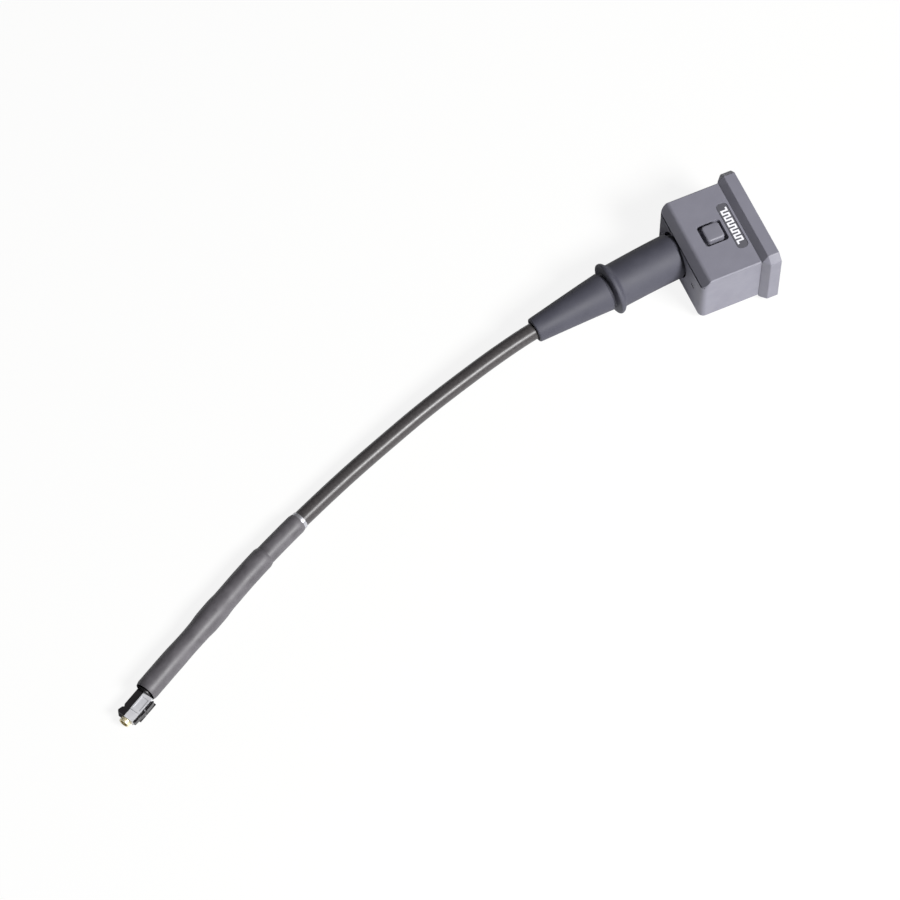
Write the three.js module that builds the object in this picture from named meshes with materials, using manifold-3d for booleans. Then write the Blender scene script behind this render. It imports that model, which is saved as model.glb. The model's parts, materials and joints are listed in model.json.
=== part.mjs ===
// Probe interface pod with a short fixed lead and a push-on coax tip.
//
// Millimetres, +Z up. The origin is under the middle of the pod, on the surface that it lies on.
// +X points out of the mating collar and the lead leaves towards -X.

import * as THREE from 'three';
import { ConvexGeometry } from 'three/addons/geometries/ConvexGeometry.js';
import { mergeVertices } from 'three/addons/utils/BufferGeometryUtils.js';
import Module from 'manifold-3d';

const wasm = await Module();
wasm.setup();

// ---------------------------------------------------------------- driving dimensions

const FACE_X = 14.35; // mating face
const POD_LENGTH = 29.65; // rear wall to mating face
const BODY_WIDTH = 36.0;
const BODY_HEIGHT = 23.2;
const COLLAR_LENGTH = 6.6;
const COLLAR_PROUD = 2.7; // how far the collar stands out around the body
const COLLAR_SLOPE = 2.3; // run of the collar's rear slopes
const COLLAR_CORNER = 2.6; // size of the collar's cut corners
const WALL = 1.6;
const REAR_WALL = 2.8;
const COVER_EDGE = 0.6; // thickness of the cover's edge seen from the side
const COVER_RUN = 2.73; // length of the cover's rear slope, from its lip to where it meets the top
const COVER_FALL = 3.5; // height of that slope
const SLOPE_ROUND = 1.8; // radius between that slope and the top
const LEDGE = 0.3; // how far the case stands out behind the cover's lip
const LEDGE_GAP = 0.6; // open height between that ledge and the lip
const CORNER_RADIUS = 1.5; // upright rear corners of the case
const SEAM = 0.1; // gap between pieces that touch
const FIT = 0.3; // gap between pieces that slip into one another

const REAR_X = FACE_X - POD_LENGTH;
const COLLAR_X = FACE_X - COLLAR_LENGTH;
const CASE_FRONT_X = COLLAR_X + 1.7; // the case runs this far into the collar
const HALF_WIDTH = BODY_WIDTH / 2;
const BASE_Z = COLLAR_PROUD;
const TOP_Z = BASE_Z + BODY_HEIGHT;
const MID_Z = BASE_Z + BODY_HEIGHT / 2;
const FLOOR_Z = BASE_Z + WALL;
const CEILING_Z = TOP_Z - WALL;
const INNER_HALF_WIDTH = HALF_WIDTH - WALL;
const LIP_X = REAR_X + LEDGE;
const LIP_Z = TOP_Z - COVER_FALL; // lower edge of the cover's rear slope

const BUTTON = { x: -2.9, size: 6.8, gap: 1.1, radius: 1.2, proud: 1.2, skirt: 1.6, skirtZ: 23.3 };
const SWITCH = { size: 6.0, bodyTop: 22.4, plungerRadius: 1.7, plungerTop: 23.2, pocket: 21.0 };
const BADGE = { x: 4.75, length: 19.8, width: 4.2, depth: 0.5, corner: 1.5 };

const CASE_SCREWS = [[-10.6, -14.5], [-10.6, 14.5], [1.4, -14.5], [1.4, 14.5]];
const CASE_SCREW = { boss: 1.7, hole: 0.95, shaft: 0.8, head: 1.5, headHeight: 1.0, split: 13.8, top: 18.0 };
const REAR_SCREW = { y: -10.75, z: 14.2 };
const SWITCH_SCREW_Y = 7.6;
const MAIN_BOARD = { x0: -8.5, x1: 2.0, halfWidth: 12.3, z: 8.3, thick: 1.2 };
const SWITCH_BOARD = { x0: -8.0, x1: 1.5, halfWidth: 9.6, z: 18.6, thick: 1.2 };

const RECESS = { halfWidth: 15.5, halfHeight: 9.4 }; // mouth of the collar
const PLATE = { x: 7.0, thick: 1.0, halfWidth: 15.9, halfHeight: 9.7 };
const PLATE_SCREW = { y: 13.7, dz: 7.4, shaft: 0.75, hole: 0.95, head: 1.4, headHeight: 0.8 };
const JACK = { nose: 3.2, flange: 4.2, body: 2.6, bore: 2.5, front: 9.1, back: 1.5 };
const PIN_Y = 9.0;
const PIN_PITCH = 3.2;
const PIN = { barrel: 0.85, bore: 0.6, plunger: 0.5, tip: 9.1, back: 2.0 };

const BOOT_HOLE = { y: 3.65, z: 13.6, radius: 6.6, pocket: 8.8, pocketDepth: 2.1 };
const BOOT_BORE = 3.3;
const CABLE_RADIUS = 3.1;
const CABLE_SIDES = 12;
const LEAD_SIDES = 14;

// The lead's centreline, from inside the pod to the tip connector.
const LEAD_POINTS = [
  [-7.0, 3.65, 13.6], [-11.0, 3.65, 13.6], [-14.1, 3.65, 13.6], [-18.0, 3.4, 13.6],
  [-24.0, 2.8, 13.6], [-31.0, 2.05, 13.45], [-40.0, 1.0, 13.2], [-49.0, 0.05, 12.8],
  [-58.0, -1.0, 12.3], [-67.0, -2.1, 11.8], [-76.0, -3.2, 11.1], [-89.0, -5.7, 9.9],
  [-104.0, -9.3, 8.5], [-121.0, -14.0, 7.2], [-137.0, -19.2, 6.1], [-154.0, -25.2, 5.2],
  [-170.0, -31.6, 4.8], [-186.0, -38.6, 4.7], [-202.0, -46.4, 4.7], [-217.0, -54.6, 4.7],
  [-228.5, -60.95, 4.7], [-240.0, -67.05, 4.7], [-252.9, -74.15, 4.7],
];
// Distances along the lead, measured from its third point, in the pod's rear wall.
const BOOT_END = 60.0;
const CABLE_START = -6.6;
const CABLE_END = 246.7;
const SLEEVE_START = 170.6;
const STEP_AT = 188.0;
const BUMP_AT = 217.0;
const SLEEVE_END = 253.4;

// The tip connector, in its own frame: x along the lead from the sleeve's end, y to the side
// that the slim lever is on, z up, all from the sleeve's axis.
const TIP = { back: 0.4, front: 11.3, bottom: -3.6, top: 0.4, axisY: 0.75, axisZ: -2.25 };
const RAIL = { y0: -2.7, y1: -0.35, footAt: 8.6, flare: 0.5 };
const BLOCK = { y0: -0.15, y1: 3.6, front: 11.4 };
const LEVER = { y0: 4.1, y1: 4.85, back: 1.1, front: 11.3, bottom: -1.8 };
const PIVOT = { x: 5.6, y: 4.3, boss: 0.8, hole: 0.45, radius: 0.35 };
const BARREL = { outer: 1.95, inner: 1.5, back: 9.0, front: 12.9 };

// ---------------------------------------------------------------- materials

function finish(color, roughness, metalness) {
  return new THREE.MeshStandardMaterial({ color, roughness, metalness });
}

const SHELL_GREY = finish(0x7d7c88, 0.6, 0);
const BADGE_DARK = finish(0x55545f, 0.5, 0);
const BUTTON_GREY = finish(0x6a6973, 0.55, 0);
const RUBBER = finish(0x4d4c57, 0.8, 0);
const JACKET = finish(0x3d3a3a, 0.35, 0);
const SLEEVE = finish(0x5f5d63, 0.75, 0);
const BLACK_PLASTIC = finish(0x17161a, 0.45, 0);
const BOARD_GREEN = finish(0x1f4a36, 0.5, 0);
const CHIP_BLACK = finish(0x1c1c20, 0.5, 0);
const NICKEL = finish(0xc4c3cc, 0.3, 1);
const STEEL = finish(0x9c9ca4, 0.35, 1);
const GOLD = finish(0xd9b769, 0.25, 1);
const PTFE = finish(0xeeeeea, 0.6, 0);

// ---------------------------------------------------------------- geometry helpers

// Merges equal vertices, drops triangles with no area, and turns the faces to point out.
function welded(geometry) {
  const bare = geometry.index ? geometry.clone() : geometry;
  bare.deleteAttribute('normal');
  bare.deleteAttribute('uv');
  const merged = mergeVertices(bare, 1e-5);
  const index = merged.index.array;
  const position = merged.attributes.position;
  const corner = [new THREE.Vector3(), new THREE.Vector3(), new THREE.Vector3()];
  const kept = [];
  let volume = 0;
  for (let i = 0; i < index.length; i += 3) {
    const [a, b, c] = [index[i], index[i + 1], index[i + 2]];
    if (a === b || b === c || c === a) continue;
    kept.push(a, b, c);
    [a, b, c].forEach((vertex, k) => corner[k].fromBufferAttribute(position, vertex));
    volume += corner[0].dot(corner[1].cross(corner[2]));
  }
  if (volume < 0) kept.reverse();
  merged.setIndex(kept);
  return merged;
}

function toSolid(geometry) {
  const closed = welded(geometry);
  return new wasm.Manifold(
    new wasm.Mesh({
      numProp: 3,
      vertProperties: new Float32Array(closed.attributes.position.array),
      triVerts: new Uint32Array(closed.index.array),
    }),
  );
}

function fromSolid(solid) {
  const mesh = solid.getMesh();
  const geometry = new THREE.BufferGeometry();
  geometry.setAttribute('position', new THREE.BufferAttribute(new Float32Array(mesh.vertProperties), 3));
  geometry.setIndex(new THREE.BufferAttribute(new Uint32Array(mesh.triVerts), 1));
  return geometry;
}

function cut(base, ...tools) {
  return fromSolid(tools.reduce((solid, tool) => solid.subtract(toSolid(tool)), toSolid(base)));
}

function join(base, ...others) {
  return fromSolid(others.reduce((solid, other) => solid.add(toSolid(other)), toSolid(base)));
}

function common(base, other) {
  return fromSolid(toSolid(base).intersect(toSolid(other)));
}

function box(x0, x1, y0, y1, z0, z1) {
  const geometry = new THREE.BoxGeometry(x1 - x0, y1 - y0, z1 - z0);
  return geometry.translate((x0 + x1) / 2, (y0 + y1) / 2, (z0 + z1) / 2);
}

function extrude(shape, depth, curveSegments = 6) {
  return new THREE.ExtrudeGeometry(shape, { depth, bevelEnabled: false, curveSegments });
}

// A shape drawn in (x, y), standing from z0 to z1.
function upright(shape, z0, z1, curveSegments) {
  return extrude(shape, z1 - z0, curveSegments).translate(0, 0, z0);
}

// A shape drawn in (y, z), running from x0 to x1.
function lengthwise(shape, x0, x1, curveSegments) {
  const turn = new THREE.Matrix4().makeBasis(
    new THREE.Vector3(0, 1, 0),
    new THREE.Vector3(0, 0, 1),
    new THREE.Vector3(1, 0, 0),
  );
  return extrude(shape, x1 - x0, curveSegments).applyMatrix4(turn).translate(x0, 0, 0);
}

// A shape drawn in (x, z), running from y0 to y1.
function crosswise(shape, y0, y1, curveSegments) {
  return extrude(shape, y1 - y0, curveSegments).rotateX(Math.PI / 2).translate(0, y1, 0);
}

function roundedRectangle(x0, x1, y0, y1, radius) {
  const shape = new THREE.Shape();
  shape.moveTo(x0 + radius, y0);
  shape.lineTo(x1 - radius, y0);
  shape.absarc(x1 - radius, y0 + radius, radius, -Math.PI / 2, 0);
  shape.lineTo(x1, y1 - radius);
  shape.absarc(x1 - radius, y1 - radius, radius, 0, Math.PI / 2);
  shape.lineTo(x0 + radius, y1);
  shape.absarc(x0 + radius, y1 - radius, radius, Math.PI / 2, Math.PI);
  shape.lineTo(x0, y0 + radius);
  shape.absarc(x0 + radius, y0 + radius, radius, Math.PI, 1.5 * Math.PI);
  return shape;
}

// A turned piece: profile points are [radius, distance], starting and ending on the axis.
function turned(profile, sides = 16) {
  return new THREE.LatheGeometry(profile.map(([radius, along]) => new THREE.Vector2(radius, along)), sides);
}

function rod(radius, from, to, sides = 16) {
  return turned([[0, from], [radius, from], [radius, to], [0, to]], sides);
}

const turnedUpright = (profile, x, y, sides) => turned(profile, sides).rotateX(Math.PI / 2).translate(x, y, 0);
const rodUpright = (radius, x, y, z0, z1, sides) =>
  rod(radius, z0, z1, sides).rotateX(Math.PI / 2).translate(x, y, 0);
const turnedForward = (profile, y, z, sides) => turned(profile, sides).rotateZ(-Math.PI / 2).translate(0, y, z);
const rodForward = (radius, y, z, x0, x1, sides) =>
  rod(radius, x0, x1, sides).rotateZ(-Math.PI / 2).translate(0, y, z);

// ---------------------------------------------------------------- the lead's route

const lead = new THREE.CatmullRomCurve3(LEAD_POINTS.map((p) => new THREE.Vector3(...p)), false, 'centripetal');
lead.arcLengthDivisions = 2000;
const LEAD_LENGTH = lead.getLength();
const INSIDE_LENGTH = LEAD_POINTS[0][0] - LEAD_POINTS[2][0]; // the straight stretch inside the pod

function leadAt(distance) {
  return (distance + INSIDE_LENGTH) / LEAD_LENGTH;
}

function leadFrame(distance) {
  const at = THREE.MathUtils.clamp(leadAt(distance), 0, 1);
  const point = lead.getPointAt(at);
  const along = lead.getTangentAt(at);
  const side = new THREE.Vector3().crossVectors(along, new THREE.Vector3(0, 0, 1)).normalize();
  const up = new THREE.Vector3().crossVectors(side, along);
  return { point, along, side, up };
}

class Stretch extends THREE.Curve {
  constructor(from, to) {
    super();
    this.from = from;
    this.to = to;
  }

  getPoint(t) {
    return lead.getPointAt(leadAt(this.from + (this.to - this.from) * t));
  }
}

function circleShape(radius, sides) {
  const corners = [];
  for (let i = 0; i < sides; i += 1) {
    const turn = (i * 2 * Math.PI) / sides;
    corners.push(new THREE.Vector2(radius * Math.cos(turn), radius * Math.sin(turn)));
  }
  return new THREE.Shape(corners);
}

function tubeAlong(curve, radius, sides, steps) {
  const options = { steps, bevelEnabled: false, extrudePath: curve };
  return new THREE.ExtrudeGeometry(circleShape(radius, sides), options);
}

// Adds points to a closed outline of [radius, distance] so that it can bend with the lead.
function withSteps(outline, longest) {
  const points = [];
  outline.forEach(([radius, along], i) => {
    const [nextRadius, nextAlong] = outline[(i + 1) % outline.length];
    const count = Math.max(1, Math.ceil(Math.abs(nextAlong - along) / longest));
    for (let k = 0; k < count; k += 1) {
      const part = k / count;
      points.push([radius + (nextRadius - radius) * part, along + (nextAlong - along) * part]);
    }
  });
  points.push(outline[0]);
  return points;
}

// A hollow turned piece that follows the lead: the outline closes on itself.
function sleeveOnLead(outline, sides = LEAD_SIDES, longest = 7) {
  const geometry = welded(turned(withSteps(outline, longest), sides));
  const position = geometry.attributes.position;
  for (let i = 0; i < position.count; i += 1) {
    const { point, side, up } = leadFrame(position.getY(i));
    point.addScaledVector(side, position.getX(i));
    point.addScaledVector(up, position.getZ(i));
    position.setXYZ(i, point.x, point.y, point.z);
  }
  return geometry;
}

// ---------------------------------------------------------------- pod shell

function column() {
  const shape = new THREE.Shape();
  const [x, y] = [REAR_X + CORNER_RADIUS, HALF_WIDTH - CORNER_RADIUS];
  shape.moveTo(CASE_FRONT_X, -HALF_WIDTH);
  shape.lineTo(CASE_FRONT_X, HALF_WIDTH);
  shape.lineTo(x, HALF_WIDTH);
  shape.absarc(x, y, CORNER_RADIUS, Math.PI / 2, Math.PI);
  shape.lineTo(REAR_X, -y);
  shape.absarc(x, -y, CORNER_RADIUS, Math.PI, 1.5 * Math.PI);
  return upright(shape, BASE_Z, TOP_Z);
}

const SLOPE = Math.atan2(COVER_FALL, COVER_RUN);
const lipInset = (depth) => LIP_X + depth / Math.sin(SLOPE);

// Draws the line that runs `depth` inside the cover's outer surface, from the lip to the front.
function traceCover(shape, depth) {
  const centreX = LIP_X + COVER_RUN + SLOPE_ROUND * Math.tan(SLOPE / 2);
  shape.lineTo(lipInset(depth), LIP_Z);
  shape.absarc(centreX, TOP_Z - SLOPE_ROUND, SLOPE_ROUND - depth, Math.PI / 2 + SLOPE, Math.PI / 2, true);
  shape.lineTo(FACE_X, TOP_Z - depth);
}

// Everything above the cover's underside at its edges, down to the ledge behind its lip.
function aboveSeam() {
  const shape = new THREE.Shape();
  shape.moveTo(REAR_X - 1, LIP_Z - LEDGE_GAP);
  shape.lineTo(lipInset(COVER_EDGE), LIP_Z - LEDGE_GAP);
  traceCover(shape, COVER_EDGE);
  shape.lineTo(FACE_X, TOP_Z + 2);
  shape.lineTo(REAR_X - 1, TOP_Z + 2);
  return crosswise(shape, -HALF_WIDTH - 1, HALF_WIDTH + 1, 6);
}

// The cover's skin: what lies between its outer surface and the seam.
function coverSkin() {
  const under = new THREE.Shape();
  under.moveTo(REAR_X - 1, LIP_Z - 5);
  under.lineTo(REAR_X - 1, LIP_Z);
  traceCover(under, COVER_EDGE - SEAM);
  under.lineTo(FACE_X, LIP_Z - 5);
  const outer = new THREE.Shape();
  outer.moveTo(FACE_X, LIP_Z);
  traceCover(outer, 0);
  const [y0, y1] = [-HALF_WIDTH - 1, HALF_WIDTH + 1];
  return common(cut(crosswise(outer, y0 + 0.5, y1 - 0.5, 6), crosswise(under, y0, y1, 6)), column());
}

function makeLowerCase() {
  const inside = box(REAR_X + REAR_WALL, FACE_X, -INNER_HALF_WIDTH, INNER_HALF_WIDTH, FLOOR_Z, TOP_Z + 1);
  const { y, z, radius, pocket, pocketDepth } = BOOT_HOLE;
  const bootHole = rodForward(radius, y, z, REAR_X - 1, REAR_X + 4, 24);
  const bootPocket = rodForward(pocket, y, z, REAR_X - 1, REAR_X + pocketDepth, 24);
  const shell = cut(column(), inside, aboveSeam(), bootHole, bootPocket);
  const bosses = CASE_SCREWS.map(([x, across]) =>
    rodUpright(CASE_SCREW.boss, x, across, FLOOR_Z - 0.5, CASE_SCREW.split - SEAM, 12));
  const standoffs = [-1, 1].map((side) => {
    const x = MAIN_BOARD.x0 + 2;
    return rodUpright(1.5, x, side * 9.5, FLOOR_Z - 0.5, MAIN_BOARD.z - SEAM, 12);
  });
  const posts = [];
  for (const side of [-1, 1]) {
    for (const dz of [-PLATE_SCREW.dz, PLATE_SCREW.dz]) {
      const y0 = side > 0 ? 12.0 : -INNER_HALF_WIDTH - 0.5;
      const y1 = side > 0 ? INNER_HALF_WIDTH + 0.5 : -12.0;
      const z0 = dz > 0 ? MID_Z + dz - 2.4 : FLOOR_Z - 0.5;
      const z1 = dz > 0 ? CEILING_Z - FIT : MID_Z + dz + 2.4;
      posts.push(box(3.6, PLATE.x - SEAM, y0, y1, z0, z1));
    }
  }
  const screwHoles = CASE_SCREWS.flatMap(([x, across]) => [
    rodUpright(CASE_SCREW.hole, x, across, BASE_Z - 1, CASE_SCREW.split + 1, 12),
    rodUpright(CASE_SCREW.head + 0.2, x, across, BASE_Z - 1, BASE_Z + CASE_SCREW.headHeight + 0.2, 16),
  ]);
  const plateHoles = plateScrewPlaces().map(([across, up]) =>
    rodForward(PLATE_SCREW.hole, across, up, 2, 8, 12));
  const rearScrewHole = rodForward(1.1, REAR_SCREW.y, REAR_SCREW.z, REAR_X - 1, REAR_X + 4, 12);
  return cut(join(shell, ...bosses, ...standoffs, ...posts), ...screwHoles, ...plateHoles, rearScrewHole);
}

function makeTopCover() {
  const plug = box(LIP_X + COVER_RUN + 1.2, PLATE.x - 0.5, SEAM - INNER_HALF_WIDTH, INNER_HALF_WIDTH - SEAM,
    CEILING_Z, TOP_Z - COVER_EDGE + 0.2);
  const frontPlug = box(PLATE.x - 1, CASE_FRONT_X, SEAM - INNER_HALF_WIDTH, INNER_HALF_WIDTH - SEAM,
    CEILING_Z + SEAM, TOP_Z - COVER_EDGE + 0.2);
  const bosses = CASE_SCREWS.map(([x, y]) =>
    rodUpright(CASE_SCREW.boss, x, y, CASE_SCREW.split, CEILING_Z + 1.2, 12));
  const boardTop = SWITCH_BOARD.z + SWITCH_BOARD.thick;
  const switchPosts = [-1, 1].map((side) =>
    rodUpright(1.5, BUTTON.x, side * SWITCH_SCREW_Y, boardTop + SEAM, CEILING_Z + 0.5, 12));
  const half = BUTTON.size / 2 + BUTTON.gap;
  const window = upright(
    roundedRectangle(BUTTON.x - half, BUTTON.x + half, -half, half, BUTTON.radius), CEILING_Z - 1, TOP_Z + 1);
  const badgePocket = upright(badgeShape(0), TOP_Z - BADGE.depth, TOP_Z + 1, 6);
  const caseHoles = CASE_SCREWS.map(([x, y]) =>
    rodUpright(CASE_SCREW.hole, x, y, CASE_SCREW.split - 1, CASE_SCREW.top + 0.5, 12));
  const switchHoles = [-1, 1].map((side) =>
    rodUpright(0.75, BUTTON.x, side * SWITCH_SCREW_Y, SWITCH_BOARD.z, CEILING_Z - 0.6, 10));
  const whole = join(coverSkin(), plug, frontPlug, ...bosses, ...switchPosts);
  return cut(whole, window, badgePocket, ...caseHoles, ...switchHoles);
}

function badgeShape(inset) {
  const reach = BADGE.width / 2 - inset;
  const half = BADGE.length / 2 - inset;
  return roundedRectangle(BADGE.x - reach, BADGE.x + reach, -half, half, BADGE.corner - inset);
}

// The collar: a cut-cornered rim whose rear runs down to the body on all sides.
function makeMatingCollar() {
  const halfY = HALF_WIDTH + COLLAR_PROUD;
  const halfZ = BODY_HEIGHT / 2 + COLLAR_PROUD;
  const points = [];
  for (const sy of [-1, 1]) {
    for (const sz of [-1, 1]) {
      const at = (x, y, z) => points.push(new THREE.Vector3(x, sy * y, MID_Z + sz * z));
      at(COLLAR_X, HALF_WIDTH + FIT, BODY_HEIGHT / 2 + FIT);
      at(COLLAR_X + COLLAR_SLOPE, halfY - COLLAR_CORNER, halfZ);
      at(COLLAR_X + COLLAR_SLOPE, halfY, halfZ - COLLAR_CORNER);
      at(FACE_X, halfY - COLLAR_CORNER, halfZ);
      at(FACE_X, halfY, halfZ - COLLAR_CORNER);
    }
  }
  const halfBody = BODY_HEIGHT / 2;
  const socket = box(COLLAR_X - 1, CASE_FRONT_X + SEAM, -HALF_WIDTH - 0.15, HALF_WIDTH + 0.15,
    MID_Z - halfBody - 0.15, MID_Z + halfBody + 0.15);
  const { halfWidth, halfHeight } = RECESS;
  const opening = roundedRectangle(-halfWidth, halfWidth, MID_Z - halfHeight, MID_Z + halfHeight, 2);
  const mouth = lengthwise(opening, COLLAR_X, FACE_X + 1);
  return cut(new ConvexGeometry(points), socket, mouth);
}

// ---------------------------------------------------------------- button and switch

function makeButtonCap() {
  const half = BUTTON.size / 2;
  const cap = upright(
    roundedRectangle(BUTTON.x - half, BUTTON.x + half, -half, half, BUTTON.radius),
    BUTTON.skirtZ, TOP_Z + BUTTON.proud, 4);
  const wide = half + BUTTON.skirt;
  const skirt = box(BUTTON.x - wide, BUTTON.x + wide, -wide, wide, BUTTON.skirtZ, CEILING_Z - FIT);
  return join(cap, skirt);
}

function makeSwitchBody() {
  const half = SWITCH.size / 2;
  const bottom = SWITCH_BOARD.z + SWITCH_BOARD.thick + SEAM;
  const body = box(BUTTON.x - half, BUTTON.x + half, -half, half, bottom, SWITCH.bodyTop);
  return cut(body, rodUpright(SWITCH.plungerRadius + 0.12, BUTTON.x, 0, SWITCH.pocket, SWITCH.bodyTop + 1, 20));
}

function makeSwitchPlunger() {
  return rodUpright(SWITCH.plungerRadius, BUTTON.x, 0, SWITCH.pocket + 0.6, SWITCH.plungerTop, 20);
}

// ---------------------------------------------------------------- boards and what is on them

function makeBoard({ x0, x1, halfWidth, z, thick }, holes) {
  const board = upright(roundedRectangle(x0, x1, -halfWidth, halfWidth, 0.8), z, z + thick, 3);
  return cut(board, ...holes.map(([x, y, radius]) => rodUpright(radius, x, y, z - 1, z + thick + 1, 10)));
}

const BOARD_TOP = MAIN_BOARD.z + MAIN_BOARD.thick + SEAM;

function makeShieldCan() {
  const can = box(-7.6, 0.6, -11.2, -2.6, BOARD_TOP, BOARD_TOP + 2.4);
  return cut(can, box(-7.3, 0.3, -10.9, -2.9, BOARD_TOP - 1, BOARD_TOP + 2.1));
}

function makeSignalLead() {
  const curve = new THREE.CatmullRomCurve3([
    new THREE.Vector3(-6.6, 3.65, 13.6), new THREE.Vector3(-5.4, 3.8, 13.4), new THREE.Vector3(-4.4, 4.6, 12.9),
    new THREE.Vector3(-3.8, 5.6, 12.3), new THREE.Vector3(-3.6, 6.0, 11.7),
  ]);
  return tubeAlong(curve, 0.55, 8, 12);
}

function makeJackLead() {
  const curve = new THREE.CatmullRomCurve3([
    new THREE.Vector3(1.2, 0, 14.3), new THREE.Vector3(0.2, 0.4, 13.9), new THREE.Vector3(-0.4, 1.6, 12.9),
    new THREE.Vector3(-0.6, 3.0, 11.6), new THREE.Vector3(-0.6, 3.6, 11.2),
  ]);
  return tubeAlong(curve, 0.5, 8, 12);
}

// ---------------------------------------------------------------- mating interface

function plateScrewPlaces() {
  return [-1, 1].flatMap((side) => [-1, 1].map((row) => [side * PLATE_SCREW.y, MID_Z + row * PLATE_SCREW.dz]));
}

function makeConnectorPlate() {
  const { x, thick, halfWidth, halfHeight } = PLATE;
  const outline = roundedRectangle(-halfWidth, halfWidth, MID_Z - halfHeight, MID_Z + halfHeight, 1);
  const [before, after] = [x - 1, x + thick + 1];
  const jackHole = rodForward(JACK.nose + FIT, 0, MID_Z, before, after, 24);
  const reach = PIN_PITCH + 1.6;
  const windows = [-1, 1].map((side) =>
    box(before, after, side * PIN_Y - 1.6, side * PIN_Y + 1.6, MID_Z - reach, MID_Z + reach));
  const screwHoles = plateScrewPlaces().map(([y, z]) => rodForward(PLATE_SCREW.hole, y, z, before, after, 12));
  return cut(lengthwise(outline, x, x + thick, 4), jackHole, ...windows, ...screwHoles);
}

function makeContactBlock(side) {
  const y = side * PIN_Y;
  const body = box(PIN.back + 0.4, PLATE.x - SEAM, y - 2.4, y + 2.4, MID_Z - 5.6, MID_Z + 5.6);
  const bores = [-1, 0, 1].map((row) =>
    rodForward(PIN.barrel + 0.12, y, MID_Z + row * PIN_PITCH, PIN.back - 1, PLATE.x + 1, 12));
  return cut(body, ...bores);
}

function makePinBarrel(y, z) {
  const { barrel, bore, back } = PIN;
  const mouth = PLATE.x + PLATE.thick + 0.2;
  return turnedForward([[0, back], [barrel, back], [barrel, mouth], [bore, mouth], [bore, back + 0.8],
    [0, back + 0.8]], y, z, 10);
}

function makePinPlunger(y, z) {
  const { plunger, tip, back } = PIN;
  return turnedForward([[0, back + 2.2], [plunger, back + 2.2], [plunger, tip - 0.3], [0.25, tip],
    [0, tip]], y, z, 10);
}

function makeJackShell() {
  const { nose, flange, body, bore, front, back } = JACK;
  const shoulder = PLATE.x - SEAM;
  return turnedForward([
    [0, back], [body, back], [body, shoulder - 1], [flange, shoulder - 1], [flange, shoulder],
    [nose, shoulder], [nose, front], [bore, front], [bore, back + 2], [0, back + 2],
  ], 0, MID_Z, 24);
}

function makeJackInsulator() {
  const ring = [[0.75, JACK.back + 2.2], [JACK.bore - 0.12, JACK.back + 2.2], [JACK.bore - 0.12, PLATE.x],
    [0.75, PLATE.x], [0.75, JACK.back + 2.2]];
  return turnedForward(ring, 0, MID_Z, 20);
}

function makeJackContact() {
  return turnedForward([[0, 4], [0.55, 4], [0.55, 8], [0.3, 8.6], [0, 8.6]], 0, MID_Z, 12);
}

function screwForward(y, z) {
  const seat = PLATE.x + PLATE.thick + SEAM;
  const top = seat + PLATE_SCREW.headHeight;
  return turnedForward([[0, 3.9], [PLATE_SCREW.shaft, 3.9], [PLATE_SCREW.shaft, seat], [PLATE_SCREW.head, seat],
    [PLATE_SCREW.head, top - 0.2], [PLATE_SCREW.head - 0.2, top], [0, top]], y, z, 12);
}

function caseScrew(x, y) {
  const seat = BASE_Z + CASE_SCREW.headHeight;
  return turnedUpright([[0, BASE_Z + 0.1], [CASE_SCREW.head, BASE_Z + 0.1], [CASE_SCREW.head, seat],
    [CASE_SCREW.shaft, seat], [CASE_SCREW.shaft, CASE_SCREW.top], [0, CASE_SCREW.top]], x, y, 12);
}

function switchScrew(y) {
  const seat = SWITCH_BOARD.z - SEAM;
  return turnedUpright([[0, seat - 0.9], [1.3, seat - 0.9], [1.3, seat], [0.6, seat], [0.6, CEILING_Z - 1],
    [0, CEILING_Z - 1]], BUTTON.x, y, 12);
}

function makeRearScrew() {
  const { y, z } = REAR_SCREW;
  return turnedForward([[0, REAR_X + 0.15], [0.95, REAR_X + 0.15], [0.95, REAR_X + 0.8], [0.5, REAR_X + 1.2],
    [0.5, REAR_X + 4], [0, REAR_X + 4]], y, z, 12);
}

// ---------------------------------------------------------------- boot, cable and sleeves

const BOOT_OUTLINE = [
  // inner flange, neck through the wall, then the outside
  [BOOT_BORE, -3.4], [7.8, -3.4], [7.8, -1.9], [6.2, -1.9], [6.2, -0.8], [8.5, -0.8], [8.4, 8.0], [8.2, 26.4],
  [9.2, 26.9], [9.8, 27.8], [9.8, 29.0], [9.3, 29.9], [8.3, 30.3], [7.0, 30.4], [7.1, 31.2],
  [4.75, BOOT_END - 0.4], [4.4, BOOT_END], [BOOT_BORE, BOOT_END],
];

function makeCrimpRing() {
  return sleeveOnLead([[BOOT_BORE, -6.4], [4.1, -6.4], [4.1, -3.8], [BOOT_BORE, -3.8]]);
}

// Both sleeves swell over the ferrule in the same way.
function bump(distance) {
  const reach = 12;
  const away = Math.min(1, Math.abs(distance - BUMP_AT) / reach);
  return 0.2 * (1 + Math.cos(Math.PI * away));
}

function sleeveOutline(inner, outer, from, to) {
  const steps = Math.ceil((to - from) / 6);
  const outward = [];
  const inward = [];
  for (let i = 0; i <= steps; i += 1) {
    const distance = from + ((to - from) * i) / steps;
    outward.push([outer + bump(distance), distance]);
    inward.unshift([inner + bump(distance), distance]);
  }
  return [...outward, ...inward];
}

function makeFerrule() {
  const [from, to] = [BUMP_AT - 4, BUMP_AT + 4];
  return sleeveOnLead([[BOOT_BORE, from], [3.5, from], [3.5, to], [BOOT_BORE, to]]);
}

// ---------------------------------------------------------------- tip connector, in its own frame

function plan(points) {
  return new THREE.Shape(points.map(([x, y]) => new THREE.Vector2(x, y)));
}

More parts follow.
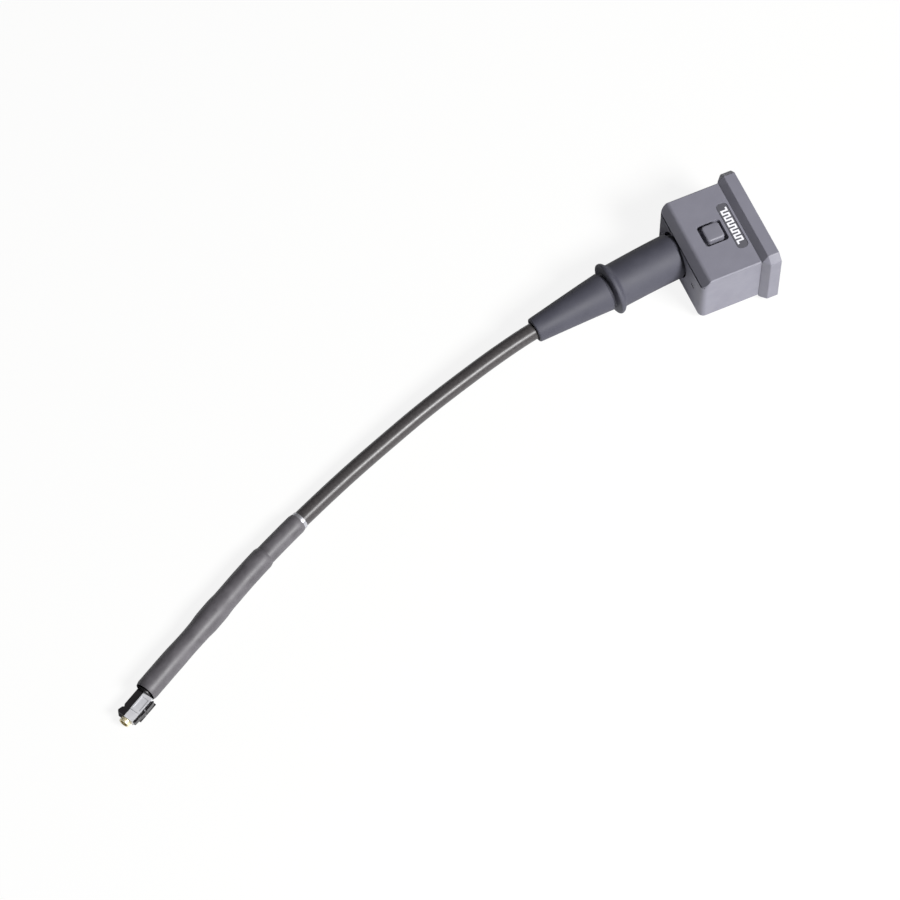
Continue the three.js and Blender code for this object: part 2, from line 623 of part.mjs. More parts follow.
function makeTipHousing() {
  const { back, front, bottom, top } = TIP;
  const rail = upright(plan([
    [back, RAIL.y0], [RAIL.footAt - 0.8, RAIL.y0], [RAIL.footAt, RAIL.y0 + 0.5],
    [RAIL.footAt + 0.5, RAIL.y0 - 0.1],
    [front - 0.6, RAIL.y0 - RAIL.flare], [front, RAIL.y0 - RAIL.flare + 0.4], [front, RAIL.y1], [back, RAIL.y1],
  ]), bottom, top);
  const floor = box(back, BARREL.back - 0.3, RAIL.y0 + 0.2, LEVER.y1 - 0.1, bottom, bottom + 0.5);
  const tail = rodForward(2.6, 0, 0, CABLE_END - SLEEVE_END + 0.5, back + 0.1, 16);
  const web = box(back - 0.2, back + 0.3, RAIL.y0 + 0.3, RAIL.y1, bottom + 0.1, 1.4);
  const pinHole = rodUpright(PIVOT.hole, PIVOT.x, PIVOT.y, bottom - 1, bottom + 1, 12);
  const barrelRoom = rodForward(BARREL.outer + 0.15, TIP.axisY, TIP.axisZ, BARREL.back - 0.3, front + 1, 20);
  return cut(join(rail, floor, tail, web), pinHole, barrelRoom);
}

function makeTipBlock() {
  const bottom = TIP.bottom + 0.7;
  const block = box(TIP.back + 0.2, BLOCK.front, BLOCK.y0, BLOCK.y1, bottom, TIP.top);
  const bossSpace = box(PIVOT.x - 1.5, PIVOT.x + 1.5, PIVOT.y - 1.1, 9, bottom - 1, TIP.top - 0.45);
  const plateStep = box(TIP.back + 1.6, 7.0, BLOCK.y0 + 0.5, BLOCK.y1 - 0.5, TIP.top - 0.25, TIP.top + 1);
  const frontStep = box(7.9, BLOCK.front + 1, BLOCK.y0 - 1, 9, TIP.top - 0.3, TIP.top + 1);
  const barrelRoom = rodForward(BARREL.outer + 0.15, TIP.axisY, TIP.axisZ, BARREL.back - 0.3, 20, 20);
  return cut(block, bossSpace, plateStep, frontStep, barrelRoom);
}

function makeLatchLever() {
  const { y0, y1, back, front, bottom } = LEVER;
  const bar = upright(plan([
    [back, y0 + 0.15], [back + 0.3, y0], [9.2, y0], [front - 0.3, y0 - 0.35], [front, y0 - 0.1],
    [front - 0.2, y0 + 0.5], [9.0, y1 - 0.1], [7.4, y1 + 0.15], [3.8, y1 + 0.15], [back + 0.3, y1],
    [back, y1 - 0.2],
  ]), bottom, TIP.top);
  const boss = rodUpright(PIVOT.boss, PIVOT.x, PIVOT.y, bottom, TIP.top - 0.75, 16);
  return cut(join(bar, boss), rodUpright(PIVOT.hole, PIVOT.x, PIVOT.y, bottom - 1, TIP.top + 1, 12));
}

const makeLatchPin = () => rodUpright(PIVOT.radius, PIVOT.x, PIVOT.y, TIP.bottom + 0.1, TIP.top - 0.05, 12);

function makeTipBarrel() {
  const { outer, inner, back, front } = BARREL;
  const ring = [[inner, back], [outer, back], [outer, front - 0.3], [outer - 0.15, front], [inner, front],
    [inner, back]];
  return turnedForward(ring, TIP.axisY, TIP.axisZ, 20);
}

function makeTipInsulator() {
  const radius = BARREL.inner - 0.1;
  return turnedForward([[0.5, BARREL.back + 0.1], [radius, BARREL.back + 0.1], [radius, BARREL.front - 1.2],
    [0.5, BARREL.front - 1.2], [0.5, BARREL.back + 0.1]], TIP.axisY, TIP.axisZ, 16);
}

function makeTipContact() {
  return turnedForward([[0, BARREL.back + 0.1], [0.38, BARREL.back + 0.1], [0.38, BARREL.front - 0.5],
    [0.15, BARREL.front - 0.2], [0, BARREL.front - 0.2]], TIP.axisY, TIP.axisZ, 10);
}

// ---------------------------------------------------------------- assembly

const object = new THREE.Group();

function add(name, geometry, material, parent = object) {
  const mesh = new THREE.Mesh(welded(geometry), material);
  mesh.name = name;
  parent.add(mesh);
}

add('lower_case', makeLowerCase(), SHELL_GREY);
add('top_cover', makeTopCover(), SHELL_GREY);
add('mating_collar', makeMatingCollar(), SHELL_GREY);
add('badge_inlay', upright(badgeShape(SEAM), TOP_Z - BADGE.depth + 0.1, TOP_Z - 0.1, 6), BADGE_DARK);
CASE_SCREWS.forEach(([x, y], i) => add(`case_screw_${i + 1}`, caseScrew(x, y), STEEL));
add('rear_screw', makeRearScrew(), STEEL);

add('button_cap', makeButtonCap(), BUTTON_GREY);
add('switch_body', makeSwitchBody(), BLACK_PLASTIC);
add('switch_plunger', makeSwitchPlunger(), STEEL);
const switchHoles = [-1, 1].map((side) => [BUTTON.x, side * SWITCH_SCREW_Y, 0.8]);
add('switch_board', makeBoard(SWITCH_BOARD, switchHoles), BOARD_GREEN);
[-1, 1].forEach((side, i) => add(`switch_board_screw_${i + 1}`, switchScrew(side * SWITCH_SCREW_Y), STEEL));

add('main_board', makeBoard(MAIN_BOARD, []), BOARD_GREEN);
add('shield_can', makeShieldCan(), NICKEL);
add('amplifier_chip', box(-6.4, -2.4, -8.8, -4.8, BOARD_TOP, BOARD_TOP + 0.9), CHIP_BLACK);
add('memory_chip', box(-7.4, -5.0, 8.0, 11.2, BOARD_TOP, BOARD_TOP + 0.9), CHIP_BLACK);
add('lead_socket', rodUpright(1.3, -3.6, 6.2, BOARD_TOP, BOARD_TOP + 1.7, 16), GOLD);
add('jack_socket', rodUpright(1.2, -0.6, 3.8, BOARD_TOP, BOARD_TOP + 1.2, 16), GOLD);
add('signal_lead', makeSignalLead(), JACKET);
add('jack_lead', makeJackLead(), JACKET);

add('connector_plate', makeConnectorPlate(), NICKEL);
plateScrewPlaces().forEach(([y, z], i) => add(`plate_screw_${i + 1}`, screwForward(y, z), STEEL));
add('jack_shell', makeJackShell(), GOLD);
add('jack_insulator', makeJackInsulator(), PTFE);
add('jack_contact', makeJackContact(), GOLD);
add('contact_block_left', makeContactBlock(-1), BLACK_PLASTIC);
add('contact_block_right', makeContactBlock(1), BLACK_PLASTIC);
[-1, 1].forEach((side, column) => {
  [-1, 0, 1].forEach((row, i) => {
    const number = column * 3 + i + 1;
    add(`pin_barrel_${number}`, makePinBarrel(side * PIN_Y, MID_Z + row * PIN_PITCH), GOLD);
    add(`spring_pin_${number}`, makePinPlunger(side * PIN_Y, MID_Z + row * PIN_PITCH), GOLD);
  });
});

add('strain_relief_boot', sleeveOnLead(BOOT_OUTLINE, 20, 8), RUBBER);
add('crimp_ring', makeCrimpRing(), STEEL);
add('cable', tubeAlong(new Stretch(CABLE_START, CABLE_END), CABLE_RADIUS, CABLE_SIDES, 42), JACKET);
add('cable_ferrule', makeFerrule(), STEEL);
add('inner_sleeve', sleeveOnLead(sleeveOutline(BOOT_BORE, 3.7, SLEEVE_START, SLEEVE_END - 1)), SLEEVE);
add('outer_sleeve', sleeveOnLead(sleeveOutline(3.8, 4.15, STEP_AT, SLEEVE_END)), SLEEVE);

const tip = new THREE.Group();
const tipFrame = leadFrame(SLEEVE_END);
tip.position.copy(tipFrame.point);
tip.rotation.z = Math.atan2(tipFrame.along.y, tipFrame.along.x);
object.add(tip);
add('tip_housing', makeTipHousing(), BLACK_PLASTIC, tip);
add('tip_block', makeTipBlock(), NICKEL, tip);
add('latch_lever', makeLatchLever(), BLACK_PLASTIC, tip);
add('latch_pin', makeLatchPin(), STEEL, tip);
add('tip_barrel', makeTipBarrel(), GOLD, tip);
add('tip_insulator', makeTipInsulator(), PTFE, tip);
add('tip_contact', makeTipContact(), GOLD, tip);

export default object;
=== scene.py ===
"""A probe interface pod with a short sleeved lead and a push-on tip, lying on a pale bench."""

import json
import math

import bmesh
import bpy
from mathutils import Matrix, Vector


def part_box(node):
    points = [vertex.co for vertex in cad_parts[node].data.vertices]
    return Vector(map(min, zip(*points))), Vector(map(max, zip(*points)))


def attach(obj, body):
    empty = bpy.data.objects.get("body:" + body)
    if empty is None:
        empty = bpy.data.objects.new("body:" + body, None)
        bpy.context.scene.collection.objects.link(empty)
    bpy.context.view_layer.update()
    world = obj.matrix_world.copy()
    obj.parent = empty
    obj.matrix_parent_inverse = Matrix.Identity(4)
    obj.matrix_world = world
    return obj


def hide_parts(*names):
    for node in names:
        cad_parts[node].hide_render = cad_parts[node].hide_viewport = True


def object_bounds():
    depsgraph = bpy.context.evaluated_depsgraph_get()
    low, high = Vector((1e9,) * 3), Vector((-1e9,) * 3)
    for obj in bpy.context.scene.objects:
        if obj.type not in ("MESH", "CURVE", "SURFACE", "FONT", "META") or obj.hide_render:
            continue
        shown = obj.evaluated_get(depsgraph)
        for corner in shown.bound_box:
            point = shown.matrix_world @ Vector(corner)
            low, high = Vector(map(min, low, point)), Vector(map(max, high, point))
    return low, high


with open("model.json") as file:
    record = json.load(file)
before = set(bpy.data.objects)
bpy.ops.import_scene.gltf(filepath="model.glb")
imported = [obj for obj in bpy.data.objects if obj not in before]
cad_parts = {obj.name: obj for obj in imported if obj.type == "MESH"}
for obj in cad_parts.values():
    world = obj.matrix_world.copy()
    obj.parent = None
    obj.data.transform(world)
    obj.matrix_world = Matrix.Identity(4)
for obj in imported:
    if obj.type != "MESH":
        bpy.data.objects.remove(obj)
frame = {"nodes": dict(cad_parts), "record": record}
cad_low, cad_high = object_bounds()

MM = 0.001

# ---------------------------------------------------------------- camera

VIEW_AZIMUTH = math.radians(-24.2)
VIEW_ELEVATION = math.radians(62.0)
VIEW_DISTANCE = 1.58835
VIEW_TARGET = Vector((-0.11907, -0.03124, 0.005))
LENS = 181.1

TOWARDS_CAMERA = Vector((
    math.sin(VIEW_AZIMUTH) * math.cos(VIEW_ELEVATION),
    -math.cos(VIEW_AZIMUTH) * math.cos(VIEW_ELEVATION),
    math.sin(VIEW_ELEVATION),
))


def make_camera():
    camera = bpy.data.objects.new("Camera", bpy.data.cameras.new("Camera"))
    camera.data.lens = LENS
    camera.data.sensor_width = 36.0
    camera.data.clip_start = 0.05
    camera.data.clip_end = 20.0
    camera.location = VIEW_TARGET + TOWARDS_CAMERA * VIEW_DISTANCE
    camera.rotation_mode = "QUATERNION"
    camera.rotation_quaternion = (-TOWARDS_CAMERA).to_track_quat("-Z", "Y")
    bpy.context.scene.collection.objects.link(camera)
    bpy.context.scene.camera = camera


make_camera()

# ---------------------------------------------------------------- materials

MATERIALS = {}


class Graph:
    """Adds nodes to a material with little typing."""

    def __init__(self, name):
        self.name = name
        self.material = bpy.data.materials.new(name)
        self.material.use_nodes = True
        self.tree = self.material.node_tree
        self.shader = self.tree.nodes["Principled BSDF"]
        self.coordinates = self.add("ShaderNodeTexCoord")

    def add(self, kind, **sockets):
        node = self.tree.nodes.new(kind)
        for name, value in sockets.items():
            self.feed(node, name.replace("_", " "), value)
        return node

    def feed(self, node, name, value):
        if isinstance(value, bpy.types.NodeSocket):
            self.tree.links.new(value, node.inputs[name])
        else:
            node.inputs[name].default_value = value

    def place(self, source, stretch=(1, 1, 1)):
        mapping = self.add("ShaderNodeMapping", Vector=self.coordinates.outputs[source])
        mapping.inputs["Scale"].default_value = stretch
        return mapping.outputs["Vector"]

    def noise(self, where, scale, detail=2.0, roughness=0.5):
        node = self.add("ShaderNodeTexNoise", Vector=where, Scale=scale, Detail=detail, Roughness=roughness)
        return node.outputs["Fac"]

    def ramp(self, value, low, high, to_low, to_high):
        node = self.add("ShaderNodeMapRange", Value=value)
        node.inputs["From Min"].default_value = low
        node.inputs["From Max"].default_value = high
        node.inputs["To Min"].default_value = to_low
        node.inputs["To Max"].default_value = to_high
        return node.outputs["Result"]

    def maths(self, operation, a, b):
        node = self.tree.nodes.new("ShaderNodeMath")
        node.operation = operation
        for socket, value in zip(node.inputs, (a, b)):
            if isinstance(value, bpy.types.NodeSocket):
                self.tree.links.new(value, socket)
            else:
                socket.default_value = value
        return node.outputs[0]

    def mix(self, factor, first, second):
        node = self.tree.nodes.new("ShaderNodeMix")
        node.data_type = "RGBA"
        self.tree.links.new(factor, node.inputs[0])
        for socket, value in ((node.inputs[6], first), (node.inputs[7], second)):
            if isinstance(value, bpy.types.NodeSocket):
                self.tree.links.new(value, socket)
            else:
                socket.default_value = (*value, 1.0)
        return node.outputs[2]

    def bump(self, height, strength, distance, under=None):
        node = self.add("ShaderNodeBump", Height=height, Strength=strength, Distance=distance)
        if under is not None:
            self.tree.links.new(under, node.inputs["Normal"])
        return node.outputs["Normal"]

    def finish(self, color, roughness, normal=None, **constants):
        self.feed(self.shader, "Base Color", color)
        self.feed(self.shader, "Roughness", roughness)
        if normal is not None:
            self.feed(self.shader, "Normal", normal)
        for name, value in constants.items():
            self.shader.inputs[name.replace("_", " ")].default_value = value
        MATERIALS[self.name] = self.material


def moulded_plastic(name, dark, light, roughness, grain=0.22):
    """Spark-textured moulding with faint blotches; `grain` is the size of its specks in mm."""
    graph = Graph(name)
    where = graph.place("Object")
    blotches = graph.noise(where, 90, 4.0, 0.6)
    specks = graph.noise(where, 1 / (grain * MM), 2.0, 0.6)
    broad, fine = graph.ramp(blotches, 0.3, 0.7, 0.0, 0.6), graph.ramp(specks, 0.35, 0.75, 0.0, 0.4)
    tone = graph.maths("ADD", broad, fine)
    gloss = graph.ramp(graph.noise(where, 260, 3.0), 0.3, 0.7, roughness - 0.06, roughness + 0.08)
    normal = graph.bump(specks, 0.5, 0.012 * MM)
    graph.finish(graph.mix(tone, dark, light), gloss, normal)


def moulded_rubber(name, dark, light, roughness):
    """Matte elastomer with a bloom of dust that gathers in soft patches."""
    graph = Graph(name)
    where = graph.place("Object")
    bloom = graph.noise(where, 60, 5.0, 0.65)
    skin = graph.noise(where, 2600, 3.0, 0.6)
    tone = graph.maths("ADD", graph.ramp(bloom, 0.35, 0.7, 0.0, 0.75), graph.ramp(skin, 0.4, 0.8, 0.0, 0.25))
    gloss = graph.ramp(bloom, 0.3, 0.7, roughness - 0.05, roughness + 0.1)
    normal = graph.bump(skin, 0.55, 0.02 * MM)
    graph.finish(graph.mix(tone, dark, light), gloss, normal, Specular_IOR_Level=0.45)


def extruded_jacket(name, dark, light):
    """Semi-gloss jacket: drawn-out streaks along it and a very fine surface."""
    graph = Graph(name)
    streaks = graph.noise(graph.place("UV", (60, 1.6, 1)), 14, 4.0, 0.6)
    skin = graph.noise(graph.place("Object"), 3200, 2.0)
    waves = graph.noise(graph.place("UV"), 120, 2.0)
    tone = graph.maths("ADD", graph.ramp(streaks, 0.3, 0.7, 0.0, 0.7), graph.ramp(skin, 0.4, 0.7, 0.0, 0.3))
    gloss = graph.ramp(streaks, 0.3, 0.7, 0.30, 0.38)
    normal = graph.bump(skin, 0.25, 0.010 * MM, graph.bump(waves, 0.2, 0.05 * MM))
    graph.finish(graph.mix(tone, dark, light), gloss, normal, Specular_IOR_Level=0.36)


def shrunk_tubing(name, dark, light):
    """Heat-shrink: satin, with faint lengthwise draw lines and soft wrinkles across."""
    graph = Graph(name)
    where = graph.place("Object")
    lines = graph.noise(graph.place("UV", (25, 1.2, 1)), 12, 3.0, 0.55)
    skin = graph.noise(where, 2400, 3.0, 0.6)
    dents = graph.noise(where, 170, 3.0, 0.5)
    tone = graph.maths("ADD", graph.ramp(lines, 0.3, 0.7, 0.0, 0.35), graph.ramp(dents, 0.35, 0.7, 0.0, 0.65))
    gloss = graph.ramp(dents, 0.3, 0.7, 0.44, 0.56)
    normal = graph.bump(skin, 0.45, 0.018 * MM, graph.bump(dents, 0.35, 0.35 * MM))
    graph.finish(graph.mix(tone, dark, light), gloss, normal, Specular_IOR_Level=0.5)


def plated_metal(name, dark, light, roughness, metallic):
    """Plated metal with fine machining marks in one direction."""
    graph = Graph(name)
    marks = graph.noise(graph.place("Object", (1, 1, 12)), 700, 4.0, 0.6)
    clouds = graph.noise(graph.place("Object"), 240, 3.0)
    gloss = graph.ramp(marks, 0.3, 0.7, roughness - 0.06, roughness + 0.1)
    normal = graph.bump(marks, 0.25, 0.01 * MM)
    tone = graph.ramp(clouds, 0.3, 0.7, 0.0, 1.0)
    graph.finish(graph.mix(tone, dark, light), gloss, normal, Metallic=metallic)


def circuit_board(name, dark, light):
    """Solder mask over tracks that run in straight lanes."""
    graph = Graph(name)
    tracks = graph.add("ShaderNodeTexBrick", Vector=graph.place("Object"), Scale=420.0)
    tracks.inputs["Mortar Size"].default_value = 0.03
    weave = graph.noise(graph.place("Object"), 1800, 2.0)
    tone = graph.maths("ADD", tracks.outputs["Fac"], graph.ramp(weave, 0.4, 0.7, 0.0, 0.3))
    normal = graph.bump(tracks.outputs["Fac"], 0.4, 0.03 * MM)
    graph.finish(graph.mix(tone, dark, light), graph.ramp(weave, 0.3, 0.7, 0.28, 0.4), normal)


def fluoropolymer(name, dark, light):
    """Milky insulator with a smooth, faintly cloudy surface."""
    graph = Graph(name)
    where = graph.place("Object")
    clouds = graph.noise(where, 300, 3.0)
    skin = graph.noise(where, 2500, 2.0)
    graph.finish(graph.mix(clouds, dark, light), graph.ramp(skin, 0.3, 0.7, 0.38, 0.5),
                 graph.bump(skin, 0.3, 0.01 * MM))


for shell_material in ("case_plastic", "cover_plastic", "collar_plastic"):
    moulded_plastic(shell_material, (0.190, 0.187, 0.225), (0.222, 0.219, 0.262), 0.48)
moulded_plastic("button_plastic", (0.180, 0.177, 0.210), (0.210, 0.207, 0.245), 0.45)
moulded_plastic("badge_plastic", (0.095, 0.094, 0.108), (0.118, 0.116, 0.134), 0.42)
moulded_plastic("badge_print", (0.84, 0.84, 0.88), (0.92, 0.92, 0.96), 0.45, grain=0.12)
moulded_plastic("black_plastic", (0.012, 0.011, 0.012), (0.022, 0.020, 0.022), 0.34, grain=0.15)
moulded_plastic("chip", (0.010, 0.010, 0.011), (0.020, 0.020, 0.022), 0.45)
moulded_rubber("boot_rubber", (0.054, 0.054, 0.072), (0.076, 0.076, 0.098), 0.6)
extruded_jacket("cable_jacket", (0.044, 0.040, 0.041), (0.078, 0.072, 0.073))
shrunk_tubing("shrink_sleeve", (0.076, 0.071, 0.079), (0.130, 0.123, 0.135))
plated_metal("nickel_plate", (0.62, 0.62, 0.65), (0.76, 0.76, 0.79), 0.34, 0.25)
plated_metal("steel", (0.42, 0.42, 0.45), (0.54, 0.54, 0.57), 0.32, 0.6)
plated_metal("gold_plate", (0.80, 0.71, 0.45), (0.90, 0.82, 0.58), 0.30, 0.55)
circuit_board("board", (0.010, 0.052, 0.026), (0.040, 0.150, 0.075))
fluoropolymer("white_insulator", (0.74, 0.74, 0.70), (0.84, 0.84, 0.80))

# ---------------------------------------------------------------- outlines


def rounded(points, closed=True):
    """A polyline of (x, y, fillet) with its corners rounded."""
    result = []
    count, steps = len(points), 4
    for i, (x, y, fillet) in enumerate(points):
        corner = Vector((x, y))
        at_end = not closed and i in (0, count - 1)
        if fillet <= 0 or at_end:
            result.append(corner)
            continue
        before = Vector(points[i - 1][:2]) - corner
        after = Vector(points[(i + 1) % count][:2]) - corner
        start = corner + before.normalized() * min(fillet, 0.49 * before.length)
        end = corner + after.normalized() * min(fillet, 0.49 * after.length)
        for k in range(steps + 1):
            t = k / steps
            result.append(start * (1 - t) ** 2 + corner * (2 * t * (1 - t)) + end * t ** 2)
    return result


def rounded_rectangle(x0, x1, y0, y1, low_radius, high_radius=None, steps=6):
    """Anticlockwise; low_radius rounds the corners at x0 and high_radius those at x1."""
    high_radius = low_radius if high_radius is None else high_radius
    corners = [
        (x1 - high_radius, y0 + high_radius, high_radius, -90),
        (x1 - high_radius, y1 - high_radius, high_radius, 0),
        (x0 + low_radius, y1 - low_radius, low_radius, 90),
        (x0 + low_radius, y0 + low_radius, low_radius, 180),
    ]
    points = []
    for cx, cy, radius, start in corners:
        for k in range(steps + 1):
            turn = math.radians(start + 90 * k / steps)
            points.append(Vector((cx + radius * math.cos(turn), cy + radius * math.sin(turn))))
    return points


def circle(x, y, radius, sides=48):
    turns = [2 * math.pi * k / sides for k in range(sides)]
    return [Vector((x + radius * math.cos(t), y + radius * math.sin(t))) for t in turns]


def star(outer, inner):
    """A six-lobed driver recess."""
    points = []
    lobes, count = 6, 48
    for k in range(count):
        turn = 2 * math.pi * k / count
        radius = (outer + inner) / 2 + (outer - inner) / 2 * math.cos(lobes * turn)
        points.append(Vector((radius * math.cos(turn), radius * math.sin(turn))))
    return points


# ---------------------------------------------------------------- solids


def lofted(loops):
    """Joins loops of equal count with faces and closes both ends."""
    bm = bmesh.new()
    rings = [[bm.verts.new(point) for point in loop] for loop in loops]
    count = len(rings[0])
    for lower, upper in zip(rings, rings[1:]):
        for k in range(count):
            n = (k + 1) % count
            bm.faces.new((lower[k], lower[n], upper[n], upper[k]))
    bm.faces.new(list(reversed(rings[0])))
    bm.faces.new(rings[-1])
    bmesh.ops.remove_doubles(bm, verts=bm.verts, dist=1e-7)
    bmesh.ops.recalc_face_normals(bm, faces=bm.faces)
    return bm


def upright(outline, z0, z1):
    """A solid on an (x, y) outline."""
    return lofted([[Vector((p.x, p.y, z)) for p in outline] for z in (z0, z1)])


def lengthwise(outline, x0, x1):
    """A solid on a (y, z) outline."""
    return lofted([[Vector((x, p.x, p.y)) for p in outline] for x in (x0, x1)])


def crosswise(outline, y0, y1):
    """A solid on an (x, z) outline."""
    return lofted([[Vector((p.x, y, p.y)) for p in outline] for y in (y0, y1)])


def turned(profile, where, sides=48):
    """Turns a profile of (along, radius) about the X axis of `where`."""
    bm = bmesh.new()
    rings = []
    for along, radius in profile:
        if radius < 1e-9:
            rings.append([bm.verts.new(where @ Vector((along, 0, 0)))])
            continue
        turns = [2 * math.pi * k / sides for k in range(sides)]
        rings.append([
            bm.verts.new(where @ Vector((along, radius * math.cos(t), radius * math.sin(t)))) for t in turns
        ])
    loop_ends = list(zip(rings, rings[1:]))
    if len(rings[0]) > 1:
        loop_ends.append((rings[-1], rings[0]))
    for lower, upper in loop_ends:
        for k in range(sides):
            n = (k + 1) % sides
            corners = [ring[i % len(ring)] for ring, i in ((lower, k), (lower, n), (upper, n), (upper, k))]
            unique = list(dict.fromkeys(corners))
            if len(unique) > 2:
                bm.faces.new(unique)
    bmesh.ops.recalc_face_normals(bm, faces=bm.faces)
    return bm


def from_node(node):
    """A copy of a CAD node's solid with its flat faces made whole."""
    bm = bmesh.new()
    bm.from_mesh(frame["nodes"][node].data)
    bmesh.ops.remove_doubles(bm, verts=bm.verts, dist=1e-6)
    bmesh.ops.dissolve_limit(bm, angle_limit=math.radians(1), verts=bm.verts, edges=bm.edges)
    return bm


def soften(bm, width, chosen=lambda edge: True, segments=3, sharper_than=30):
    """Bevels the chosen sharp edges."""
    edges = [
        e for e in bm.edges
        if len(e.link_faces) == 2 and e.calc_face_angle(0) > math.radians(sharper_than) and chosen(e)
    ]
    bmesh.ops.bevel(bm, geom=edges, offset=width, offset_type="OFFSET", segments=segments, profile=0.5,
                    affect="EDGES", clamp_overlap=True)
    return bm


def scratch_object(bm):
    mesh = bpy.data.meshes.new("scratch")
    bm.to_mesh(mesh)
    bm.free()
    obj = bpy.data.objects.new("scratch", mesh)
    bpy.context.scene.collection.objects.link(obj)
    return obj


def combined(base, tools, operation="DIFFERENCE"):
    """Cuts the tools out of the base, or joins them to it."""
    target = scratch_object(base)
    others = [scratch_object(tool) for tool in tools]
    for other in others:
        modifier = target.modifiers.new("cut", "BOOLEAN")
        modifier.operation = operation
        modifier.solver = "EXACT"
        modifier.object = other
    evaluated = target.evaluated_get(bpy.context.evaluated_depsgraph_get())
    result = bmesh.new()
    result.from_mesh(evaluated.to_mesh())
    evaluated.to_mesh_clear()
    for obj in [target, *others]:
        mesh = obj.data
        bpy.data.objects.remove(obj)
        bpy.data.meshes.remove(mesh)
    bmesh.ops.dissolve_limit(result, angle_limit=math.radians(0.5), verts=result.verts, edges=result.edges)
    return result


def piece(name, bm, material, body="pod", replaced=()):
    """Turns a solid into a finished piece that rides on a body."""
    mesh = bpy.data.meshes.new(name)
    bm.to_mesh(mesh)
    bm.free()
    mesh.polygons.foreach_set("use_smooth", [True] * len(mesh.polygons))
    mesh.set_sharp_from_angle(angle=math.radians(38))
    mesh.materials.append(MATERIALS[material])
    obj = bpy.data.objects.new(name, mesh)
    bpy.context.scene.collection.objects.link(obj)
    shading = obj.modifiers.new("flat faces", "WEIGHTED_NORMAL")
    shading.keep_sharp = True
    shading.weight = 60
    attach(obj, body)
    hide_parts(*replaced)
    return obj


# ---------------------------------------------------------------- the lead

# Centreline, from inside the pod to the end of the sleeve.
LEAD_POINTS = [Vector(p) for p in (
    (-0.0070, 0.00365, 0.0136), (-0.0110, 0.00365, 0.0136), (-0.0141, 0.00365, 0.0136),
    (-0.0180, 0.0034, 0.0136), (-0.0240, 0.0028, 0.0136), (-0.0310, 0.00205, 0.01345),
    (-0.0400, 0.0010, 0.0132), (-0.0490, 0.00005, 0.0128), (-0.0580, -0.0010, 0.0123),
    (-0.0670, -0.0021, 0.0118), (-0.0760, -0.0032, 0.0111), (-0.0890, -0.0057, 0.0099),
    (-0.1040, -0.0093, 0.0085), (-0.1210, -0.0140, 0.0072), (-0.1370, -0.0192, 0.0061),
    (-0.1540, -0.0252, 0.0052), (-0.1700, -0.0316, 0.0048), (-0.1860, -0.0386, 0.0047),
    (-0.2020, -0.0464, 0.0047), (-0.2170, -0.0546, 0.0047), (-0.2285, -0.06095, 0.0047),
    (-0.2400, -0.06705, 0.0047), (-0.2529, -0.07415, 0.0047),
)]
SPLINE_STEPS = 24
WALL_POINT = 2  # distances along the lead run from this point, inside the pod's rear wall
CABLE_RADIUS = 3.1 * MM
BOOT_END = 60.0 * MM
CABLE_START = -6.6 * MM
CABLE_END = 246.7 * MM
SLEEVE_START = 170.6 * MM
STEP_AT = 188.0 * MM
BUMP_AT = 217.0 * MM
SLEEVE_END = 253.4 * MM


def spline_samples(points):
    """A centripetal Catmull-Rom curve through the points."""
    ends = [points[0] * 2 - points[1], *points, points[-1] * 2 - points[-2]]
    samples = []
    for a, b, c, d in zip(ends, ends[1:], ends[2:], ends[3:]):
        ab, bc, cd = (math.sqrt((q - p).length) for p, q in ((a, b), (b, c), (c, d)))
        start = ((b - a) / ab - (c - a) / (ab + bc) + (c - b) / bc) * bc
        end = ((c - b) / bc - (d - b) / (bc + cd) + (d - c) / cd) * bc
        for k in range(SPLINE_STEPS):
            t = k / SPLINE_STEPS
            samples.append(
                b * (2 * t ** 3 - 3 * t ** 2 + 1) + start * (t ** 3 - 2 * t ** 2 + t)
                + c * (3 * t ** 2 - 2 * t ** 3) + end * (t ** 3 - t ** 2)
            )
    samples.append(points[-1])
    return samples


class Lead:
    """Places on the lead by their distance from its point in the pod's rear wall."""

    def __init__(self, points):
        self.samples = spline_samples(points)
        self.marks = [0.0]
        for p, q in zip(self.samples, self.samples[1:]):
            self.marks.append(self.marks[-1] + (q - p).length)
        wall = self.marks[WALL_POINT * SPLINE_STEPS]
        self.marks = [mark - wall for mark in self.marks]

    def point(self, distance):
        last = len(self.marks) - 2
        low, high = 0, last
        while low < high:
            middle = (low + high + 1) // 2
            if self.marks[middle] <= distance:
                low = middle
            else:
                high = middle - 1
        share = (distance - self.marks[low]) / (self.marks[low + 1] - self.marks[low])
        return self.samples[low].lerp(self.samples[low + 1], share)

    def axes(self, distance):
        reach = 1.2 * MM
        along = (self.point(distance + reach) - self.point(distance - reach)).normalized()
        side = along.cross(Vector((0, 0, 1))).normalized()
        return along, side, side.cross(along)


lead = Lead(LEAD_POINTS)


def stepped(outline, longest):
    """Splits the long stretches of a closed outline of (distance, radius)."""
    result = []
    for here, there in zip(outline, outline[1:] + outline[:1]):
        count = max(1, math.ceil((there - here).length / longest))
        result += [here.lerp(there, k / count) for k in range(count)]
    return result


